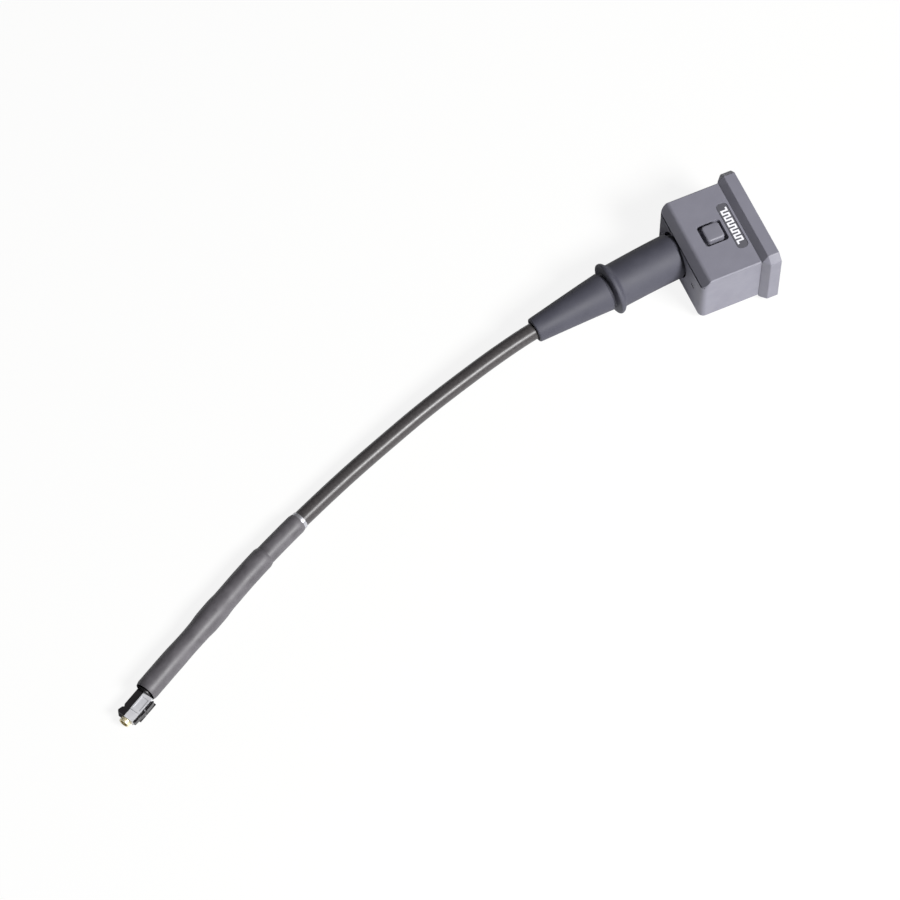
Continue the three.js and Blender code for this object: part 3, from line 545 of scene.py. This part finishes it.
def along_lead(outline, sides=72):
    """A turned piece that follows the lead, from a closed outline of (distance, radius)."""
    bm = bmesh.new()
    uv = bm.loops.layers.uv.new("UVMap")
    points = stepped(outline, 1.5 * MM)
    rings = []
    for p in points:
        centre = lead.point(p.x)
        _, side, up = lead.axes(p.x)
        turns = [2 * math.pi * k / sides for k in range(sides)]
        rings.append([bm.verts.new(centre + (side * math.cos(t) + up * math.sin(t)) * p.y) for t in turns])
    for i, ring in enumerate(rings):
        after = (i + 1) % len(rings)
        for k in range(sides):
            n = (k + 1) % sides
            face = bm.faces.new((ring[k], ring[n], rings[after][n], rings[after][k]))
            spots = ((i, k), (i, k + 1), (after, k + 1), (after, k))
            for loop, (row, column) in zip(face.loops, spots):
                loop[uv].uv = (points[row].x, column / sides)
    bmesh.ops.recalc_face_normals(bm, faces=bm.faces)
    return bm


def tube_outline(start, end, inner, outer, lip):
    """Closed outline of a plain tube with rounded ends."""
    return rounded([(start, inner, 0), (start, outer, lip), (end, outer, lip), (end, inner, 0)])


def make_cable():
    outline = tube_outline(CABLE_START, CABLE_END, 0.4 * MM, CABLE_RADIUS, 0.1 * MM)
    cable = piece("cable_run", along_lead(outline), "cable_jacket", replaced=["cable"])
    path = [lead.point(CABLE_START + (CABLE_END - CABLE_START) * k / 120) for k in range(121)]
    return cable, path


def make_boot():
    """Neck, barrel, ring bead and long cone, with the cable's bore open at the end."""
    bore, mouth = 3.3 * MM, 3.75 * MM
    outline = rounded([
        (-3.4 * MM, bore, 0), (-3.4 * MM, 7.8 * MM, 0.2 * MM), (-1.9 * MM, 7.8 * MM, 0.2 * MM),
        (-1.9 * MM, 6.2 * MM, 0), (-0.8 * MM, 6.2 * MM, 0), (-0.8 * MM, 7.5 * MM, 0.1 * MM),
        (1.9 * MM, 7.5 * MM, 0.1 * MM), (2.3 * MM, 8.45 * MM, 0.3 * MM),
        (26.4 * MM, 8.2 * MM, 0.8 * MM), (27.6 * MM, 9.8 * MM, 1.0 * MM), (29.1 * MM, 9.8 * MM, 0.8 * MM),
        (29.4 * MM, 6.3 * MM, 0.1 * MM), (30.4 * MM, 6.3 * MM, 0.1 * MM), (30.8 * MM, 7.2 * MM, 0.1 * MM),
        (59.8 * MM, 4.6 * MM, 0.45 * MM), (BOOT_END, mouth, 0.2 * MM),
        (56.0 * MM, bore, 0),
    ])
    return piece("boot", along_lead(outline, sides=96), "boot_rubber", replaced=["strain_relief_boot"])


def swelling(distance):
    """How much the sleeves stand out over the ferrule."""
    away = abs(distance - BUMP_AT)
    flat, slope = 2.6 * MM, 4.6 * MM
    share = min(1.0, max(0.0, (flat + slope - away) / slope))
    return 0.28 * MM * share * share * (3 - 2 * share)


def waist(distance):
    """How much the outer sleeve draws in between the ferrule and the tip."""
    away = abs(distance - (BUMP_AT + 13 * MM)) / (9 * MM)
    return 0.0 if away >= 1 else 0.15 * MM * (1 + math.cos(math.pi * away)) / 2


def sleeve_outline(start, end, inner, outer, draw_in, lip):
    count = math.ceil((end - start) / (1.2 * MM))
    top = []
    for k in range(count + 1):
        distance = start + (end - start) * k / count
        radius = outer + swelling(distance) - draw_in * waist(distance)
        from_end = min(distance - start, end - distance)
        if from_end < lip:
            radius -= lip - math.sqrt(lip * lip - (lip - from_end) ** 2)
        top.append(Vector((distance, radius)))
    return [Vector((start, inner)), *top, Vector((end, inner))]


def make_sleeves():
    inner = sleeve_outline(SLEEVE_START, SLEEVE_END - 1 * MM, 3.3 * MM, 3.70 * MM, 0.0, 0.25 * MM)
    outer = sleeve_outline(STEP_AT, SLEEVE_END, 3.5 * MM, 4.15 * MM, 1.0, 0.35 * MM)
    liner = tube_outline(SLEEVE_START - 1.3 * MM, SLEEVE_START + 2 * MM, 3.12 * MM, 3.36 * MM, 0.1 * MM)
    return [
        piece("shrink_under", along_lead(inner), "shrink_sleeve", replaced=["inner_sleeve"]),
        piece("shrink_over", along_lead(outer), "shrink_sleeve", replaced=["outer_sleeve"]),
        piece("shrink_liner", along_lead(liner), "steel"),
    ]


# ---------------------------------------------------------------- the tip

TIP_AXIS_Y, TIP_AXIS_Z = 0.75 * MM, -2.25 * MM
TIP_TOP = 0.4 * MM


def tip_frame():
    """A level frame at the sleeve's end whose X axis points on along the lead."""
    along, _, _ = lead.axes(SLEEVE_END)
    turn = Matrix.Rotation(math.atan2(along.y, along.x), 4, "Z")
    return Matrix.Translation(lead.point(SLEEVE_END)) @ turn


TIP = tip_frame()


def in_tip(vertex):
    return TIP.inverted() @ vertex.co


def make_tip():
    def on_top(edge):
        return all(in_tip(v).z > TIP_TOP - 0.01 * MM for v in edge.verts)

    housing = from_node("tip_housing")
    soften(housing, 0.75 * MM, on_top, 5)
    soften(housing, 0.1 * MM, segments=2, sharper_than=50)
    block = soften(from_node("tip_block"), 0.1 * MM, segments=2)
    lever = from_node("latch_lever")
    soften(lever, 0.22 * MM, on_top, 3)
    axis = TIP @ Matrix.Translation((0, TIP_AXIS_Y, TIP_AXIS_Z))
    barrel = turned(rounded([
        (9.0 * MM, 1.5 * MM, 0), (9.0 * MM, 1.95 * MM, 0.1 * MM), (11.7 * MM, 1.95 * MM, 0.05 * MM),
        (11.8 * MM, 1.82 * MM, 0.05 * MM), (12.1 * MM, 1.82 * MM, 0.05 * MM),
        (12.2 * MM, 1.95 * MM, 0.05 * MM), (12.9 * MM, 1.9 * MM, 0.2 * MM), (12.9 * MM, 1.5 * MM, 0.1 * MM),
    ]), axis)
    insulator = turned(rounded([
        (9.1 * MM, 0.5 * MM, 0), (9.1 * MM, 1.4 * MM, 0), (11.7 * MM, 1.4 * MM, 0.1 * MM),
        (11.7 * MM, 0.5 * MM, 0),
    ]), axis)
    contact = turned([
        (9.1 * MM, 0), (9.1 * MM, 0.38 * MM), (12.3 * MM, 0.38 * MM), (12.55 * MM, 0.32 * MM),
        (12.7 * MM, 0.15 * MM), (12.7 * MM, 0),
    ], axis, 32)
    return [
        piece("tip_rail", housing, "black_plastic", replaced=["tip_housing"]),
        piece("tip_body", block, "nickel_plate", replaced=["tip_block"]),
        piece("tip_lever", lever, "black_plastic", body="latch", replaced=["latch_lever"]),
        piece("tip_sleeve", barrel, "gold_plate", replaced=["tip_barrel"]),
        piece("tip_bead", insulator, "white_insulator", replaced=["tip_insulator"]),
        piece("tip_pin", contact, "gold_plate", replaced=["tip_contact"]),
    ]


cable, cable_path = make_cable()
boot = make_boot()
on_the_lead = [boot, *make_sleeves(), *make_tip()]
on_the_lead += [frame["nodes"][node] for node in ("crimp_ring", "cable_ferrule", "latch_pin")]

# ---------------------------------------------------------------- the pod's shell

case_low, case_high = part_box("lower_case")
cover_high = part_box("top_cover")[1]
collar_low, collar_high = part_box("mating_collar")
REAR_X = case_low.x
HALF_WIDTH = case_high.y
BASE_Z = case_low.z
TOP_Z = cover_high.z
FRONT_X = case_high.x
MID_Z = (collar_low.z + collar_high.z) / 2
WALL = 1.6 * MM
REAR_WALL = 2.8 * MM
COVER_RUN, COVER_FALL = 2.73 * MM, 3.5 * MM
SLOPE = math.atan2(COVER_FALL, COVER_RUN)
SLOPE_ROUND = 1.8 * MM
LEDGE = 0.3 * MM  # how far the rear wall stands out past the cover's lip
LEDGE_GAP = 0.6 * MM  # from the top of the rear wall up to the lip
CORNER = 2.2 * MM  # radius of the upright rear corners
SEAM = 0.1 * MM  # gap between pieces that fit in one another
COVER_EDGE = 0.6 * MM  # depth of the case's edge under the cover's surface
LIP_X = REAR_X + LEDGE
LIP_Z = TOP_Z - COVER_FALL
BOOT_Y, BOOT_Z = LEAD_POINTS[WALL_POINT].yz
BOOT_HOLE, BOOT_POCKET, POCKET_DEPTH = 6.6 * MM, 8.8 * MM, 2.1 * MM
REAR_SCREW_Y, REAR_SCREW_Z = -10.75 * MM, 14.2 * MM
WINDOW_HALF = 4.5 * MM  # half the width of the opening around the button
BADGE_CORNER = 1.5 * MM


def shell_loop(z, inset=0.0):
    """The pod's plan outline at a height, drawn in by the inset."""
    half = HALF_WIDTH - inset
    outline = rounded_rectangle(REAR_X + inset, FRONT_X, -half, half, CORNER, 0.05 * MM, steps=8)
    return [Vector((p.x, p.y, z)) for p in outline]


def quarter(radius, share):
    """Inset and rise of a quarter round, where share runs from 0 at its foot to 1 at its top."""
    return radius * (1 - math.cos(share * math.pi / 2)), radius * math.sin(share * math.pi / 2)


def lip_inset(depth):
    """Where the line that runs `depth` inside the cover's slope meets the height of its lip."""
    return LIP_X + depth / math.sin(SLOPE)


def cover_line(depth):
    """The line that runs `depth` inside the cover's outer surface, from its lip to the front, as (x, z)."""
    radius = SLOPE_ROUND - depth
    centre_x = LIP_X + COVER_RUN + SLOPE_ROUND * math.tan(SLOPE / 2)
    points = [Vector((lip_inset(depth), LIP_Z))]
    arc_steps = 8
    for k in range(arc_steps + 1):
        turn = math.pi / 2 + SLOPE * (1 - k / arc_steps)
        z = TOP_Z - SLOPE_ROUND + radius * math.sin(turn)
        points.append(Vector((centre_x + radius * math.cos(turn), z)))
    return [*points, Vector((FRONT_X + MM, TOP_Z - depth))]


def across_body(outline):
    """A solid on an (x, z) outline that reaches past both sides of the pod."""
    return crosswise(outline, -HALF_WIDTH - MM, HALF_WIDTH + MM)


def make_case():
    """A tub with a ledge on its rear wall, a pocket for the boot and sunk screw holes."""
    foot = 0.5 * MM
    loops = []
    for k in range(5):
        inset, rise = quarter(foot, 1 - k / 4)
        loops.append(shell_loop(BASE_Z + foot - rise, inset))
    loops.append(shell_loop(TOP_Z))
    inner_half = HALF_WIDTH - WALL
    inside = rounded_rectangle(REAR_X + REAR_WALL, FRONT_X + MM, -inner_half, inner_half, 0.4 * MM)
    hollow = upright(inside, BASE_Z + WALL, TOP_Z + MM)
    ledge_z = LIP_Z - LEDGE_GAP
    seam = cover_line(COVER_EDGE)
    above = [Vector((REAR_X - MM, ledge_z)), Vector((seam[0].x, ledge_z)), *seam,
             Vector((FRONT_X + MM, TOP_Z + MM)), Vector((REAR_X - MM, TOP_Z + MM))]
    screws = [sum(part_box(f"case_screw_{i}"), Vector()) / 2 for i in range(1, 5)]
    case = combined(lofted(loops), [
        hollow,
        across_body(above),
        lengthwise(circle(BOOT_Y, BOOT_Z, BOOT_HOLE), REAR_X - MM, REAR_X + 2 * REAR_WALL),
        lengthwise(circle(BOOT_Y, BOOT_Z, BOOT_POCKET, 96), REAR_X - MM, REAR_X + POCKET_DEPTH),
        lengthwise(circle(REAR_SCREW_Y, REAR_SCREW_Z, 1.1 * MM), REAR_X - MM, REAR_X + 2 * REAR_WALL),
        *[upright(circle(c.x, c.y, 1.7 * MM), BASE_Z - MM, BASE_Z + 1.2 * MM) for c in screws],
    ])

    def on_ledge(edge):
        return all(abs(v.co.z - ledge_z) < 0.01 * MM and v.co.x < REAR_X + CORNER for v in edge.verts)

    return soften(case, 0.25 * MM, on_ledge, 2)


def make_cover():
    """A skin that rolls down to the lip, on a plug that fits inside the case."""
    button_low, button_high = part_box("button_cap")
    centre = (button_low + button_high) / 2
    half = WINDOW_HALF
    window = rounded_rectangle(centre.x - half, centre.x + half, -half, half, 1.1 * MM)
    badge_low, badge_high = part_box("badge_inlay")
    pocket = rounded_rectangle(badge_low.x - SEAM, badge_high.x + SEAM, badge_low.y - SEAM,
                               badge_high.y + SEAM, BADGE_CORNER + SEAM)
    depth = COVER_EDGE - SEAM
    outer = across_body([*cover_line(0), Vector((FRONT_X + MM, LIP_Z))])
    column = lofted([shell_loop(z) for z in (LIP_Z - MM, TOP_Z + MM)])
    block = combined(outer, [column], "INTERSECT")

    def above_lip(edge):
        behind_front = any(v.co.x < FRONT_X - MM for v in edge.verts)
        return behind_front and max(v.co.z for v in edge.verts) > LIP_Z + 0.01 * MM

    soften(block, 0.3 * MM, above_lip, 2, 40)
    # The two long upper edges are cut at a slant.
    chamfer, clear = 0.42 * MM, 0.002 * MM
    beyond, shoulder = HALF_WIDTH + MM, TOP_Z - chamfer - MM
    envelope = lengthwise([
        Vector((-beyond, LIP_Z - 2 * MM)), Vector((beyond, LIP_Z - 2 * MM)),
        Vector((beyond, shoulder)), Vector((HALF_WIDTH - chamfer, TOP_Z + clear)),
        Vector((chamfer - HALF_WIDTH, TOP_Z + clear)), Vector((-beyond, shoulder)),
    ], REAR_X - MM, FRONT_X + 2 * MM)
    block = combined(block, [envelope], "INTERSECT")
    lip_foot = LIP_Z - 0.001 * MM
    below = [Vector((REAR_X - MM, LIP_Z - MM)), Vector((REAR_X - MM, lip_foot)),
             Vector((lip_inset(depth), lip_foot)), *cover_line(depth)[1:], Vector((FRONT_X + MM, LIP_Z - MM))]
    skin = combined(block, [across_body(below)])
    plug_start, plug_half = LIP_X + COVER_RUN + 1.2 * MM, HALF_WIDTH - WALL - SEAM
    plug = rounded_rectangle(plug_start, FRONT_X - 0.2 * MM, -plug_half, plug_half, 0.3 * MM)
    whole = combined(skin, [upright(plug, TOP_Z - WALL, TOP_Z - depth + 0.1 * MM)], "UNION")
    cover = combined(whole, [
        upright(window, TOP_Z - 2 * WALL, TOP_Z + MM),
        upright(pocket, TOP_Z - 0.5 * MM, TOP_Z + MM),
    ])

    def around_openings(edge):
        return all(
            abs(v.co.z - TOP_Z) < 0.01 * MM and abs(v.co.y) < HALF_WIDTH - 5 * MM
            and centre.x - 1.5 * half < v.co.x < badge_high.x + 0.5 * MM
            for v in edge.verts
        )

    return soften(cover, 0.15 * MM, around_openings, 2)


def make_collar():
    """A cut-cornered rim whose rear runs down to the body on all sides."""
    proud, corner = HALF_WIDTH - collar_high.y, 2.6 * MM
    half_y, half_z = collar_high.y, (collar_high.z - collar_low.z) / 2
    slope = 2.3 * MM
    bm = bmesh.new()
    for sy in (-1, 1):
        for sz in (-1, 1):
            for x, y, z in (
                (collar_low.x, HALF_WIDTH + 0.3 * MM, half_z + proud + 0.3 * MM),
                (collar_low.x + slope, half_y - corner, half_z),
                (collar_low.x + slope, half_y, half_z - corner),
                (collar_high.x, half_y - corner, half_z),
                (collar_high.x, half_y, half_z - corner),
            ):
                bm.verts.new((x, sy * y, MID_Z + sz * z))
    bmesh.ops.convex_hull(bm, input=bm.verts)
    bmesh.ops.dissolve_limit(bm, angle_limit=math.radians(1), verts=bm.verts, edges=bm.edges)
    soften(bm, 0.22 * MM, lambda e: any(v.co.x > collar_low.x + 0.1 * MM for v in e.verts), 3, 12)
    half_body = (TOP_Z - BASE_Z) / 2 + 0.15 * MM
    socket = lengthwise(rounded_rectangle(-HALF_WIDTH - 0.15 * MM, HALF_WIDTH + 0.15 * MM, MID_Z - half_body,
                                          MID_Z + half_body, 0.2 * MM), collar_low.x - MM, FRONT_X + SEAM)
    mouth_y, mouth_z = 15.5 * MM, 9.4 * MM
    mouth = lengthwise(rounded_rectangle(-mouth_y, mouth_y, MID_Z - mouth_z, MID_Z + mouth_z, 2 * MM),
                       collar_low.x, collar_high.x + MM)
    collar = combined(bm, [socket, mouth])

    def at_mouth(edge):
        return all(v.co.x > collar_high.x - 0.01 * MM and abs(v.co.y) < mouth_y + 0.2 * MM
                   and abs(v.co.z - MID_Z) < mouth_z + 0.2 * MM for v in edge.verts)

    return soften(collar, 0.35 * MM, at_mouth, 3)


def make_button():
    """A square cap with a soft crown over a hidden skirt."""
    low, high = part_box("button_cap")
    centre = (low + high) / 2
    half, fillet, crown = 3.4 * MM, 0.7 * MM, 0.06 * MM

    def loop(z, inset, radius):
        reach = half - inset
        outline = rounded_rectangle(centre.x - reach, centre.x + reach, -reach, reach, radius)
        return [Vector((p.x, p.y, z)) for p in outline]

    loops = [loop(low.z + 0.2 * MM, 0, 1.2 * MM)]
    for k in range(9):
        inset, rise = quarter(fillet, k / 8)
        loops.append(loop(high.z - crown - fillet + rise, inset, max(0.6 * MM, 1.2 * MM - inset * 0.4)))
    loops.append(loop(high.z - crown * 0.6, fillet + 0.5 * MM, 0.5 * MM))
    loops.append(loop(high.z - crown * 0.2, fillet + 1.2 * MM, 0.4 * MM))
    loops.append(loop(high.z, fillet + 2.0 * MM, 0.3 * MM))
    skirt = upright(rounded_rectangle(low.x, high.x, low.y, high.y, 0.4 * MM), low.z, low.z + 0.4 * MM)
    return combined(lofted(loops), [skirt], "UNION")


def make_badge():
    low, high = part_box("badge_inlay")
    plate = upright(rounded_rectangle(low.x, high.x, low.y, high.y, BADGE_CORNER), low.z, high.z - 0.05 * MM)
    return soften(plate, 0.08 * MM, lambda e: all(v.co.z > low.z + 0.1 * MM for v in e.verts), 2)


def make_badge_trace():
    """A plain square wave along the badge."""
    low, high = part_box("badge_inlay")
    middle = (low.x + high.x) / 2
    swing, stroke, cycles = 1.1 * MM, 0.32 * MM, 6
    reach = (high.y - low.y) / 2 - 1.9 * MM
    width = reach / cycles
    path = []
    for k in range(2 * cycles):
        side = swing if k % 2 else -swing
        y = -reach + k * width
        path += [Vector((middle + side, y)), Vector((middle + side, y + width))]
    left, right = [], []
    for i, p in enumerate(path):
        before = (p - path[i - 1]).normalized() if i else (path[1] - p).normalized()
        after = (path[i + 1] - p).normalized() if i + 1 < len(path) else before
        offset = Vector((-before.y, before.x))
        if after != before:
            offset += Vector((-after.y, after.x))
        left.append(p + offset * stroke)
        right.append(p - offset * stroke)
    bm = bmesh.new()
    rows = [[bm.verts.new((p.x, p.y, z)) for p in line] for line, z in (
        (left, high.z - 0.06 * MM), (right, high.z - 0.06 * MM), (right, high.z), (left, high.z))]
    for i in range(len(path) - 1):
        for a, b in ((0, 1), (1, 2), (2, 3), (3, 0)):
            bm.faces.new((rows[a][i], rows[a][i + 1], rows[b][i + 1], rows[b][i]))
    for i in (0, len(path) - 1):
        bm.faces.new([row[i] for row in rows])
    bmesh.ops.recalc_face_normals(bm, faces=bm.faces)
    return bm


def facing(point, direction):
    """A frame whose X axis points in a direction."""
    return Matrix.Translation(point) @ direction.to_track_quat("X", "Z").to_matrix().to_4x4()


def make_screw(place, direction, head, height, shaft, length):
    """A pan-head screw with a six-lobed recess; `head` and `shaft` are radii, `place` the top of the head."""
    where = facing(place, -direction)
    body = turned([
        (0, 0), (0, head * 0.55), (height * 0.12, head * 0.85), (height * 0.4, head), (height, head),
        (height, shaft), (length, shaft), (length, 0),
    ], where)
    recess = lofted([
        [where @ Vector((x, p.x, p.y)) for p in star(head * 0.52, head * 0.36)]
        for x in (-height, height * 0.6)
    ])
    return combined(body, [recess])


piece("case_shell", make_case(), "case_plastic", replaced=["lower_case"])
piece("cover_shell", make_cover(), "cover_plastic", replaced=["top_cover"])
piece("collar_rim", make_collar(), "collar_plastic", replaced=["mating_collar"])
piece("badge_plate", make_badge(), "badge_plastic", replaced=["badge_inlay"])
piece("badge_trace", make_badge_trace(), "badge_print")
piece("push_button", make_button(), "button_plastic", body="button", replaced=["button_cap"])

rear_head = Vector((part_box("rear_screw")[0].x, REAR_SCREW_Y, REAR_SCREW_Z))
rear_fixing = make_screw(rear_head, Vector((-1, 0, 0)), head=0.95 * MM, height=0.6 * MM, shaft=0.5 * MM,
                         length=3.8 * MM)
piece("rear_fixing", rear_fixing, "nickel_plate", replaced=["rear_screw"])
for number in range(1, 5):
    node = f"case_screw_{number}"
    low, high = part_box(node)
    place = Vector(((low.x + high.x) / 2, (low.y + high.y) / 2, low.z))
    case_fixing = make_screw(place, Vector((0, 0, -1)), head=1.5 * MM, height=0.9 * MM, shaft=0.8 * MM,
                             length=15.2 * MM)
    piece(f"case_fixing_{number}", case_fixing, "steel", replaced=[node])

# ---------------------------------------------------------------- inside the collar

piece("interface_plate", soften(from_node("connector_plate"), 0.12 * MM, segments=2), "nickel_plate",
      replaced=["connector_plate"])
for side in ("left", "right"):
    node = f"contact_block_{side}"
    block = soften(from_node(node), 0.1 * MM, segments=2)
    piece(f"pin_block_{side}", block, "black_plastic", replaced=[node])
for number in range(1, 5):
    node = f"plate_screw_{number}"
    low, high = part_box(node)
    place = Vector((high.x, (low.y + high.y) / 2, (low.z + high.z) / 2))
    plate_fixing = make_screw(place, Vector((1, 0, 0)), head=1.4 * MM, height=0.8 * MM, shaft=0.75 * MM,
                              length=5 * MM)
    piece(f"plate_fixing_{number}", plate_fixing, "steel", replaced=[node])
for number in range(1, 7):
    node = f"pin_barrel_{number}"
    low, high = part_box(node)
    axis = Matrix.Translation((0, (low.y + high.y) / 2, (low.z + high.z) / 2))
    outer, bore = 0.85 * MM, 0.6 * MM
    shell = rounded([
        (low.x, 0, 0), (low.x, outer, 0.15 * MM), (high.x, outer, 0.1 * MM), (high.x, bore, 0.05 * MM),
        (low.x + 0.8 * MM, bore, 0), (low.x + 0.8 * MM, 0, 0),
    ], closed=False)
    piece(f"pin_socket_{number}", turned(shell, axis, 32), "gold_plate", replaced=[node])
    node = f"spring_pin_{number}"
    low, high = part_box(node)
    nose = 0.5 * MM
    plunger = [(low.x, 0), (low.x, nose)]
    for k in range(8):
        inset, rise = quarter(nose, k / 8)
        plunger.append((high.x - nose + rise, nose - inset))
    plunger.append((high.x, 0))
    piece(f"pin_tip_{number}", turned(plunger, axis, 32), "gold_plate", body=f"pin_{number}", replaced=[node])

jack_axis = Matrix.Translation((0, 0, MID_Z))
jack_low, jack_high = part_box("jack_shell")
jack = rounded([
    (jack_low.x, 0, 0), (jack_low.x, 2.6 * MM, 0.2 * MM), (5.9 * MM, 2.6 * MM, 0),
    (5.9 * MM, 4.2 * MM, 0.1 * MM), (6.9 * MM, 4.2 * MM, 0.1 * MM), (6.9 * MM, 3.2 * MM, 0),
    (8.2 * MM, 3.2 * MM, 0.05 * MM), (8.3 * MM, 3.05 * MM, 0.05 * MM), (8.5 * MM, 3.05 * MM, 0.05 * MM),
    (8.6 * MM, 3.2 * MM, 0.05 * MM), (jack_high.x, 3.2 * MM, 0.25 * MM), (jack_high.x, 2.5 * MM, 0.15 * MM),
    (3.5 * MM, 2.5 * MM, 0), (3.5 * MM, 0, 0),
], closed=False)
piece("jack_body", turned(jack, jack_axis, 64), "gold_plate", replaced=["jack_shell"])
bead = rounded([(3.7 * MM, 0.75 * MM, 0), (3.7 * MM, 2.38 * MM, 0), (7.0 * MM, 2.38 * MM, 0.2 * MM),
                (7.0 * MM, 0.75 * MM, 0.2 * MM)])
piece("jack_bead", turned(bead, jack_axis, 64), "white_insulator", replaced=["jack_insulator"])
centre_pin = [(4.0 * MM, 0), (4.0 * MM, 0.55 * MM), (8.0 * MM, 0.55 * MM), (8.3 * MM, 0.48 * MM),
              (8.5 * MM, 0.28 * MM), (8.6 * MM, 0)]
piece("jack_pin", turned(centre_pin, jack_axis, 32), "gold_plate", replaced=["jack_contact"])

for row in frame["record"]["subparts"]:
    node = frame["nodes"][row["node"]]
    node.data.materials.clear()
    node.data.materials.append(MATERIALS[row["material_slot"]])

# ---------------------------------------------------------------- bench and lights

BENCH_COLOR = (0.94, 0.94, 0.95)  # what the object sees of the bench
BENCH_SHADED = (0.095, 0.095, 0.091)  # the part of its brightness that shadows take away
BENCH_GLOW = (0.890, 0.890, 0.890)  # the part that they don't


def make_bench():
    """A pale surface that is lit from within, so that shadows on it stay faint."""
    material = bpy.data.materials.new("bench")
    material.use_nodes = True
    tree = material.node_tree
    tree.nodes.remove(tree.nodes["Principled BSDF"])
    paper = tree.nodes.new("ShaderNodeBsdfDiffuse")
    paper.inputs["Color"].default_value = (*BENCH_COLOR, 1.0)
    lit = tree.nodes.new("ShaderNodeBsdfDiffuse")
    lit.inputs["Color"].default_value = (*BENCH_SHADED, 1.0)
    glow = tree.nodes.new("ShaderNodeEmission")
    glow.inputs["Color"].default_value = (*BENCH_GLOW, 1.0)
    seen = tree.nodes.new("ShaderNodeAddShader")
    tree.links.new(lit.outputs[0], seen.inputs[0])
    tree.links.new(glow.outputs[0], seen.inputs[1])
    rays = tree.nodes.new("ShaderNodeLightPath")
    choice = tree.nodes.new("ShaderNodeMixShader")
    tree.links.new(rays.outputs["Is Camera Ray"], choice.inputs[0])
    tree.links.new(paper.outputs[0], choice.inputs[1])
    tree.links.new(seen.outputs[0], choice.inputs[2])
    tree.links.new(choice.outputs[0], tree.nodes["Material Output"].inputs["Surface"])
    bm = bmesh.new()
    bmesh.ops.create_grid(bm, x_segments=1, y_segments=1, size=4.0)
    mesh = bpy.data.meshes.new("bench")
    bm.to_mesh(mesh)
    bm.free()
    mesh.materials.append(material)
    bench = bpy.data.objects.new("bench", mesh)
    bench.location.z = cad_low.z - 0.05 * MM
    bpy.context.scene.collection.objects.link(bench)


def softbox(name, azimuth, elevation, distance, width, height, power, color=(1, 1, 1)):
    """A rectangular lamp that looks at the object; azimuth 0 is in front of it and 90 to its right."""
    data = bpy.data.lights.new(name, "AREA")
    data.shape = "RECTANGLE"
    data.size, data.size_y = width, height
    data.energy = power
    data.color = color
    lamp = bpy.data.objects.new(name, data)
    a, e = math.radians(azimuth), math.radians(elevation)
    direction = Vector((math.sin(a) * math.cos(e), -math.cos(a) * math.cos(e), math.sin(e)))
    lamp.location = VIEW_TARGET + direction * distance
    lamp.rotation_mode = "QUATERNION"
    lamp.rotation_quaternion = (-direction).to_track_quat("-Z", "Y")
    bpy.context.scene.collection.objects.link(lamp)


def make_world():
    world = bpy.data.worlds.new("studio")
    bpy.context.scene.world = world
    world.use_nodes = True
    tree = world.node_tree
    background = tree.nodes["Background"]
    background.inputs["Color"].default_value = (0.96, 0.97, 1.0, 1.0)
    background.inputs["Strength"].default_value = 0.018
    seen = tree.nodes.new("ShaderNodeBackground")
    seen.inputs["Color"].default_value = (0.93, 0.93, 0.94, 1.0)
    rays = tree.nodes.new("ShaderNodeLightPath")
    choice = tree.nodes.new("ShaderNodeMixShader")
    tree.links.new(rays.outputs["Is Camera Ray"], choice.inputs[0])
    tree.links.new(background.outputs[0], choice.inputs[1])
    tree.links.new(seen.outputs[0], choice.inputs[2])
    tree.links.new(choice.outputs[0], tree.nodes["World Output"].inputs["Surface"])


make_bench()
make_world()
softbox("key", azimuth=33, elevation=44, distance=1.6, width=0.55, height=0.45, power=42.0)
softbox("overhead", azimuth=-80, elevation=76, distance=1.5, width=0.45, height=0.45, power=0.5,
        color=(0.97, 0.98, 1.0))
bpy.context.scene.view_settings.view_transform = "Standard"
